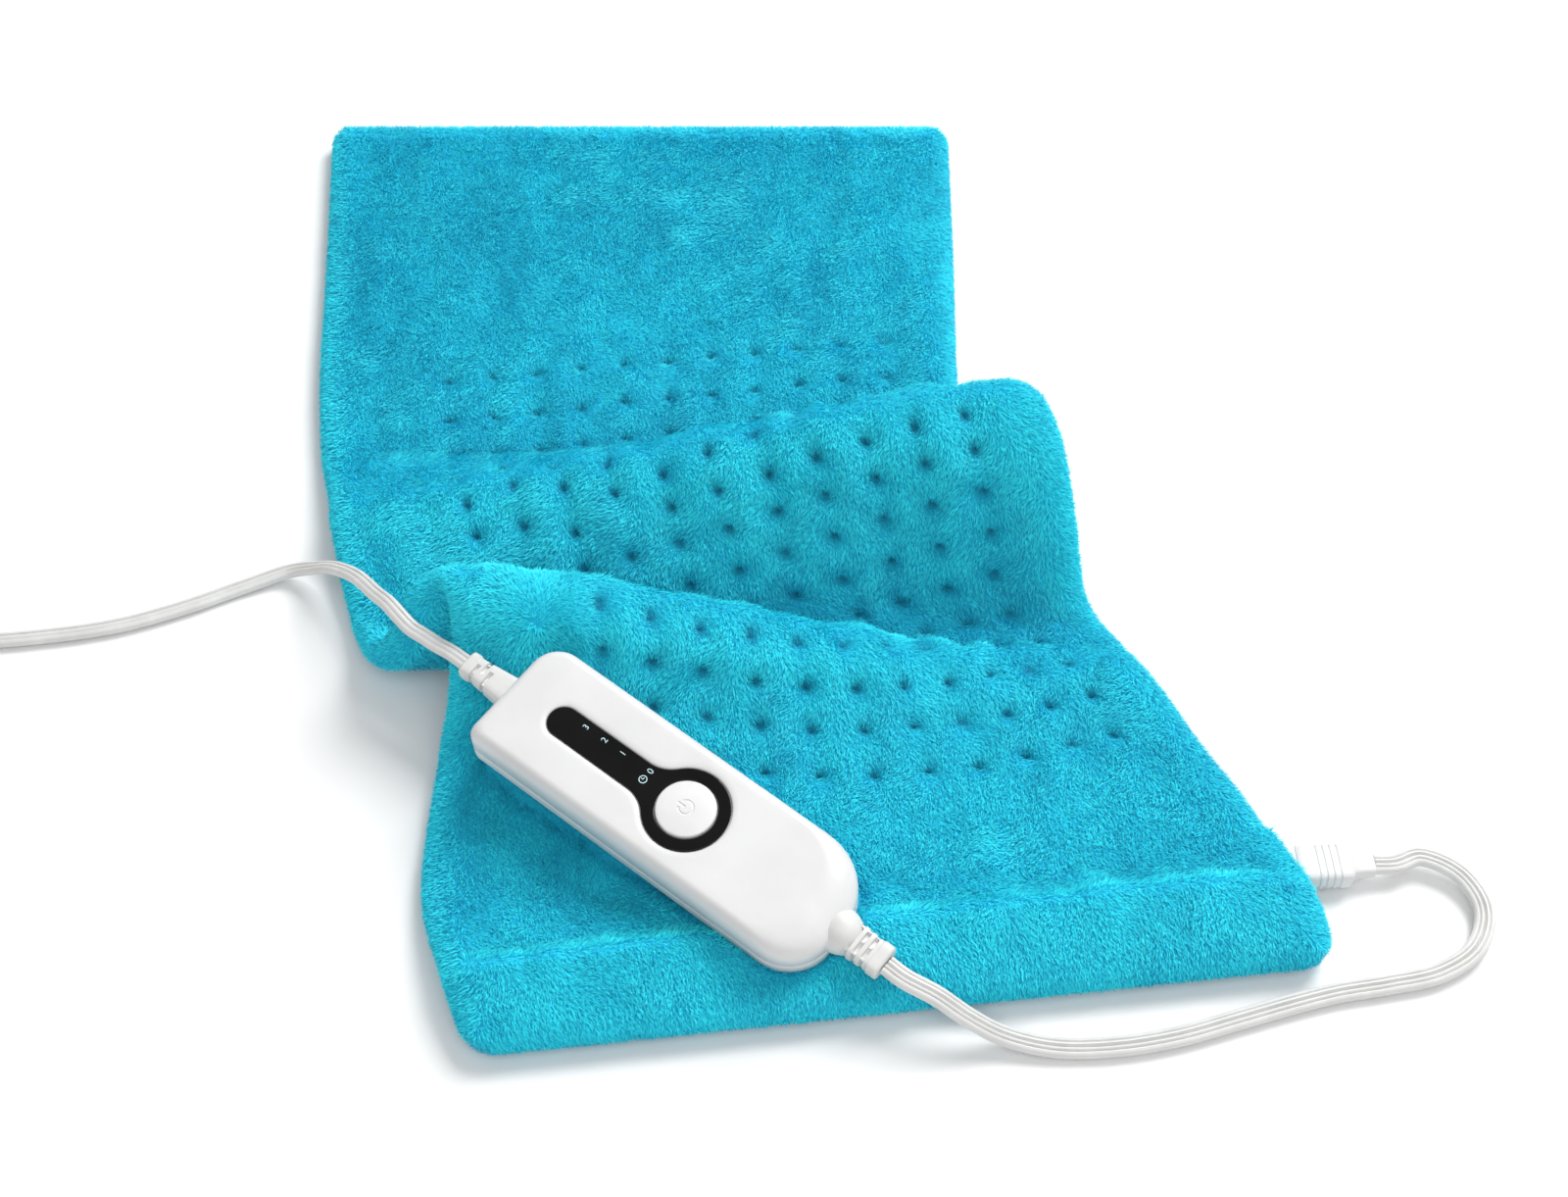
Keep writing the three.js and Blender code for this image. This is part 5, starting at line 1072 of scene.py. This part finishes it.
# Power button: a domed cap of the same white plastic, polished a little smoother, with a shallow
# pressed symbol of a broken ring and a bar. Its flange under the lid keeps it in.
polished = new_finish("polished_white_abs", "white_plastic", Roughness=0.27, IOR=1.54)
polished_cloud = texture(polished, "Noise", Scale=90, Detail=3)
colour(polished, polished_cloud, (0.3, "#e4e4e4"), (0.7, "#eaeaea"))
bump(polished, polished_cloud, 0.1, 0.00005)
SYMBOL_RADIUS = 2.7
SYMBOL_STROKE = 0.42
SYMBOL_DEPTH = 0.28
SYMBOL_OPENING = 0.5
SYMBOL_EDGE = 0.24
BAR_FROM, BAR_TO = -3.3, -0.7


def symbol_depth(x, y):
    """How deep the pressed symbol is at a place from the button's middle; up is towards -X."""
    radius = math.hypot(x, y)
    angle = abs(math.atan2(y, -x))
    gap = math.hypot(y, x - max(BAR_FROM, min(BAR_TO, x)))
    if angle > SYMBOL_OPENING:
        gap = min(gap, abs(radius - SYMBOL_RADIUS))
    t = max(0, min(1, (SYMBOL_STROKE + SYMBOL_EDGE / 2 - gap) / SYMBOL_EDGE))
    return SYMBOL_DEPTH * t * t * (3 - 2 * t)


BUTTON_SIDES = 128
CAP_EDGE_HEIGHT = 20.5
CAP_RISE = 0.9
button_rings = []
for r in [0.18 * k for k in range(1, 24)] + [4.6, 5.4, 6.4, 7.6, 8.8, 9.8]:
    top = CAP_EDGE_HEIGHT + CAP_RISE * (1 - (r / 10.5) ** 2)
    ring = round_hole(0, 0, r, 0, BUTTON_SIDES)
    button_rings.append([Vector((BUTTON_X + p.x, p.y, top - symbol_depth(p.x, p.y))) for p in ring])
button_rings += [round_hole(BUTTON_X, 0, r, z, BUTTON_SIDES) for r, z in (
    (10.4, 20.53), (10.75, 20.42), (11, 20.24), (11.14, 20), (11.2, 19.7), (11.2, 16.7),
    (13.2, 16.7), (13.2, 15.5), (9.8, 15.5), (9.8, 19), (2.4, 19), (2.4, 12.5))]
button = shell_piece("power_button_cap", [button_rings],
                     [[button_rings[0]], [button_rings[-1]]], polished, 30, body="button")
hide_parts("power_button")

# Strain reliefs: boots of soft white vinyl moulded over each cord end. Ladder slots through their
# faces leave a spine and thin bridges, so they bend evenly; a round head seats in the housing.
SLOT_DEPTH = 1.35
SLOT_EDGE = 0.22
BOOT_POWER = 0.52
BOOT_STEP = 0.24
BOOT_SIDES = 72
BOOT_IN_CASE = 0.6
BOOT_OUT = 0.9
COLLAR_SWELL = (0.8, 0.7)
COLLAR_EDGE = 0.35
TIP_ROUNDING = 1.1
TIP_ROUND_LENGTH = 0.8
TAPER_SHARE = 0.72
FLAT_SHARE = 0.86
CORE_HALF = 0.6
SIDE_SLOT_REACH = 0.9
HEAD_RINGS, HEAD_SIDES = 24, 40


def clamp(value):
    return max(0, min(1, value))


def boot(name, end, length, root, tip, height_root, height_tip, droop, windows, collar, head):
    """A boot along the housing's axis, with slot windows given along it and across it."""
    rings = []
    steps = round((length + BOOT_OUT) / BOOT_STEP)
    for i in range(steps + 1):
        x = CASE_LENGTH / 2 - BOOT_IN_CASE + (length + BOOT_OUT) * i / steps
        along = x - CASE_LENGTH / 2 - TOUCH_GAP
        share = max(0, along / length)
        swell = clamp((along - collar) / COLLAR_EDGE)
        rounding = TIP_ROUNDING * max(0, 1 - (length - along) / TIP_ROUND_LENGTH) ** 2
        width = root + (tip - root) * min(1, share / TAPER_SHARE) + COLLAR_SWELL[0] * swell - rounding
        height = height_root + (height_tip - height_root) * share + COLLAR_SWELL[1] * swell - rounding
        ring = []
        for angle in angles(BOOT_SIDES):
            y = powered(math.cos(angle), BOOT_POWER) * width / 2
            z = powered(math.sin(angle), BOOT_POWER) * height / 2
            cut = max(clamp(min(along - low_x, high_x - along, y * end - low_y, high_y - y * end)
                            / SLOT_EDGE + 0.5) for low_x, high_x, low_y, high_y in windows)
            flat = abs(z) / (height / 2) > FLAT_SHARE
            if cut and flat:
                z -= math.copysign(min(abs(z) - CORE_HALF, SLOT_DEPTH) * cut, z)
            elif cut and abs(y) > width / 2 - SIDE_SLOT_REACH:
                y -= math.copysign(SLOT_DEPTH * cut, y)
            ring.append(case_seat @ Vector((end * x, end * y, RELIEF_AXIS - droop * share ** 2 + z)))
        rings.append(ring)
    vertices, faces = loft(rings)
    if head:
        centre = Vector((end * (CASE_LENGTH / 2 - 1.2), 0, RELIEF_AXIS - 0.2))
        ids = []
        for i in range(1, HEAD_RINGS):
            polar = math.pi * i / HEAD_RINGS
            ids.append(list(range(len(vertices), len(vertices) + HEAD_SIDES)))
            vertices += [case_seat @ (centre + Vector((
                end * head[0] * math.sin(polar) * math.cos(turn),
                end * head[1] * math.sin(polar) * math.sin(turn), -head[2] * math.cos(polar))))
                for turn in angles(HEAD_SIDES)]
        poles = len(vertices)
        vertices += [case_seat @ (centre + Vector((0, 0, rise))) for rise in (-head[2], head[2])]
        faces += [face for near, far in zip(ids, ids[1:]) for face in band(near, far)]
        for a, b, c, d in zip(ids[0], turned(ids[0]), ids[-1], turned(ids[-1])):
            faces += [(poles, b, a), (c, d, poles + 1)]
    return new_piece(name, vertices, faces, vinyl, 42)


mains_boot = boot("mains_boot", -1, MAINS_BOOT_LENGTH, 13, 9.8, 9.4, 7, 0,
                  ((9.4, 10.9, -9, 1.2), (12.6, 14.1, -1.2, 9), (15.6, 17, -9, 1.2)), 18, None)
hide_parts("strain_relief_mains")
lead_boot = boot("lead_boot", 1, LEAD_BOOT_LENGTH, 14, 12.2, 9.4, 7, LEAD_DROOP,
                 [(x, x + 1.5, low, high) for x in (4.6, 8, 11.4)
                  for low, high in ((-4.4, -0.9), (0.9, 4.4), (5.3, 9), (-9, -5.3))],
                 14.4, (9.2, 8.6, 8.4))
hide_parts("strain_relief_lead")

# Connector and socket: the lead ends in a flat hand-grip shell that plugs into a socket sewn into
# the pad's side seam. Both are white ABS; the shell's faces have four low finger ribs.
CONNECTOR_WIDTH = 16
CONNECTOR_HEIGHT = 9
RIB_FIRST = 8
RIB_PITCH = 2.6
connector_turn = Matrix.Rotation(math.atan2(SOCKET_AXIS.y, SOCKET_AXIS.x), 4, "Z")
connector_seat = Matrix.Translation(SOCKET_PLACE) @ connector_turn
connector_profile = [(1.3, 0.93, 0.93), (1.8, 1, 1), (4, 1, 1)]
for x in [RIB_FIRST + RIB_PITCH * k for k in range(4)]:
    connector_profile += [(x - 0.5, 1, 1), (x - 0.1, 0.955, 0.93), (x + 0.7, 0.955, 0.93), (x + 1.1, 1, 1)]
connector_profile += [(19, 1, 1), (20.6, 0.97, 0.97), (21.6, 0.82, 0.86), (22.4, 0.66, 0.72),
                      (26, 0.6, 0.62), (29.6, 0.56, 0.56), (30.3, 0.52, 0.5)]
connector_rings = [[connector_seat @ p for p in soft_box_ring(
    x, CONNECTOR_WIDTH * wide, CONNECTOR_HEIGHT * high, 0.42, 48)] for x, wide, high in connector_profile]
connector = new_piece("lead_connector_shell", *loft(connector_rings), satin, 38)
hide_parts("pad_lead_connector")

# Inside the pad: a heating wire in a silicone jacket lies in rows on a sheet of bonded fibre cloth,
# with two thermostats and a fuse on it, and ends at the socket in the side seam.
fibre_cloth = new_finish("bonded_fibre_cloth", "carrier_cloth", Roughness=0.9)
fibre_web = texture(fibre_cloth, "Voronoi", feature="DISTANCE_TO_EDGE", Scale=700)
colour(fibre_cloth, fibre_web, (0, "#f4f1e8"), (0.3, "#e2decf"))
bump(fibre_cloth, fibre_web, 0.5, 0.0002)
cover_node(fibre_cloth, "heater_carrier_sheet")
cover_node(satin, "pad_connector_socket")

# Heating wire jacket: extruded silicone rubber, warm white with a faint dull bloom
jacket = new_finish("silicone_wire_jacket", "wire_jacket", Roughness=0.55, IOR=1.41)
jacket_bloom = texture(jacket, "Noise", Scale=260, Detail=3)
colour(jacket, jacket_bloom, (0.3, "#d9d2c0"), (0.7, "#e6e0d0"))
bump(jacket, jacket_bloom, 0.2, 0.0001)
cover_node(jacket, "heating_wire")

# Moulded epoxy and phenolic: dull black with a fine sparkle of filler, on chips and switches
resin = new_finish("moulded_black_epoxy", "black_resin", Roughness=0.5, IOR=1.55)
resin_filler = texture(resin, "Noise", Scale=4000, Detail=2)
colour(resin, resin_filler, (0.4, "#141416"), (0.7, "#232327"))
bump(resin, resin_filler, 0.3, 0.00005)
cover_node(resin, "thermostat_left", "thermostat_right", "light_guide", "microcontroller", "triac",
           "push_switch")

# Zinc plating on screws and cans: a bluish bright metal with a faint crystalline mottle
plated = new_finish("zinc_plated_steel", "steel", Metallic=1, Roughness=0.3)
plated_mottle = texture(plated, "Voronoi", Scale=1400)
colour(plated, plated_mottle, (0, "#b9bcc0"), (1, "#d0d3d6"))
roughen(plated, plated_mottle, 0.24, 0.4)
cover_node(plated, "thermal_fuse", "electrolytic_capacitor", *[f"case_screw_{k}" for k in range(1, 5)])

# Circuit board: glass and epoxy laminate under green lacquer, with copper tracks showing through
# as slightly lighter lines 1.3 mm apart.
laminate = new_finish("green_lacquered_laminate", "board", Roughness=0.3, IOR=1.5)
laminate_tracks = texture(
    laminate, "Brick", out=None, mapping={"Rotation": (0, 0, math.radians(-CASE_TURN))}, Scale=1,
    Color1=linear("#1f6f3c"), Color2=linear("#1a6236"), Mortar=linear("#2f8f55"),
    Mortar_Size=0.00022, Brick_Width=0.0091, Row_Height=0.0013).outputs
feed(laminate, "Base Color", laminate_tracks["Color"])
bump(laminate, laminate_tracks["Fac"], 0.4, 0.00004)
cover_node(laminate, "circuit_board")

# Lamp bodies are cast clear epoxy, so they are glassy with a slight cool cloud
lamp_body = new_finish("cast_clear_epoxy", "lens", Roughness=0.12, IOR=1.53, Transmission_Weight=0.6)
colour(lamp_body, texture(lamp_body, "Noise", Scale=800, Detail=2), (0.3, "#cfe9f2"), (0.7, "#e6f6fb"))
cover_node(lamp_body, "number_led_1", "number_led_2", "number_led_3", "timer_led")

# The film capacitor is dipped in mustard-yellow epoxy that pools a little glossier at its edges
dipped = new_finish("dipped_yellow_epoxy", "film", Roughness=0.25, IOR=1.55)
dipped_pool = texture(dipped, "Noise", Scale=300, Detail=2)
colour(dipped, dipped_pool, (0.3, "#c8921c"), (0.7, "#e0ab30"))
bump(dipped, dipped_pool, 0.3, 0.0002)
cover_node(dipped, "film_capacitor")

# The board's fuse is a little tube of white glazed ceramic
ceramic = new_finish("glazed_white_ceramic", "carrier_cloth", Roughness=0.18, IOR=1.52)
colour(ceramic, texture(ceramic, "Noise", Scale=1500, Detail=3), (0.3, "#e6e3da"), (0.7, "#f3f1ea"))
cover_node(ceramic, "board_fuse")

# Inner wires: the cords' cores in the same vinyl, from the boots to the board
cover_node(vinyl, *[f"lead_inner_wire_{k}" for k in range(1, 5)],
           *[f"mains_inner_wire_{k}" for k in (1, 2)])

# Stage: a white table top in a white room. A large soft lamp stands to the right and back and a
# weaker one in front, so the folds and tufts are lit from behind and the shadows stay soft.
table_finish = bpy.data.materials.new("white_paper_sweep")
table_finish.use_nodes = True
table_tree = table_finish.node_tree
table_tree.nodes.clear()
GLOW_FROM, GLOW_TO = 0.4, 2.5
GLOW_NEAR, GLOW_FAR = 0.03, 0.7
TABLE_REACH = 4
TABLE_DROP = 0.0005
table_paper = add(table_tree, "ShaderNodeBsdfDiffuse", Color=linear("#f7f7f7"))
table_reach = add(table_tree, "ShaderNodeVectorMath", add(table_tree, "ShaderNodeTexCoord", out="Object"),
                  operation="LENGTH", out="Value")
table_far = add(table_tree, "ShaderNodeMapRange", Value=table_reach, From_Min=GLOW_FROM,
                From_Max=GLOW_TO, To_Min=GLOW_NEAR, To_Max=GLOW_FAR)
table_glow = add(table_tree, "ShaderNodeEmission", Strength=table_far)


def seen_directly(tree, other_ray):
    """Whether a ray comes from the camera or is of one other kind."""
    rays = add(tree, "ShaderNodeLightPath", out=None).outputs
    return add(tree, "ShaderNodeMath", rays["Is Camera Ray"], rays[other_ray], operation="MAXIMUM")


table_lit = add(table_tree, "ShaderNodeAddShader", table_paper, table_glow)
add(table_tree, "ShaderNodeOutputMaterial", out=None, Surface=add(
    table_tree, "ShaderNodeMixShader", seen_directly(table_tree, "Is Glossy Ray"), table_paper, table_lit))
table_mesh = bpy.data.meshes.new("table_top")
table_mesh.from_pydata([(x * TABLE_REACH, y * TABLE_REACH, -TABLE_DROP)
                        for x, y in ((-1, -1), (1, -1), (1, 1), (-1, 1))], [], [(0, 1, 2, 3)])
table_mesh.materials.append(table_finish)
table_top = put("table_top", table_mesh)

ROOM_LIGHT = 0.37
room = bpy.data.worlds.new("white_room")
scene.world = room
room.use_nodes = True
room_tree = room.node_tree
room_tree.nodes.clear()
room_light, room_white = [add(room_tree, "ShaderNodeBackground", Color=linear("#ffffff"), Strength=power)
                          for power in (ROOM_LIGHT, 1)]
add(room_tree, "ShaderNodeOutputWorld", out=None, Surface=add(
    room_tree, "ShaderNodeMixShader", seen_directly(room_tree, "Is Transmission Ray"), room_light,
    room_white))

for name, place, aim, size, power in (
        ("soft_key", (0.95, 0.95, 1.75), (0, -0.05, 0), 1.15, 47),
        ("front_fill", (0.1, -1.1, 1.35), (0, -0.05, 0), 1.4, 9)):
    lamp = bpy.data.lights.new(name, "AREA")
    lamp.size = size
    lamp.energy = power
    holder = put(name, lamp)
    holder.location = place
    holder.rotation_euler = (Vector(aim) - Vector(place)).to_track_quat("-Z", "Y").to_euler()
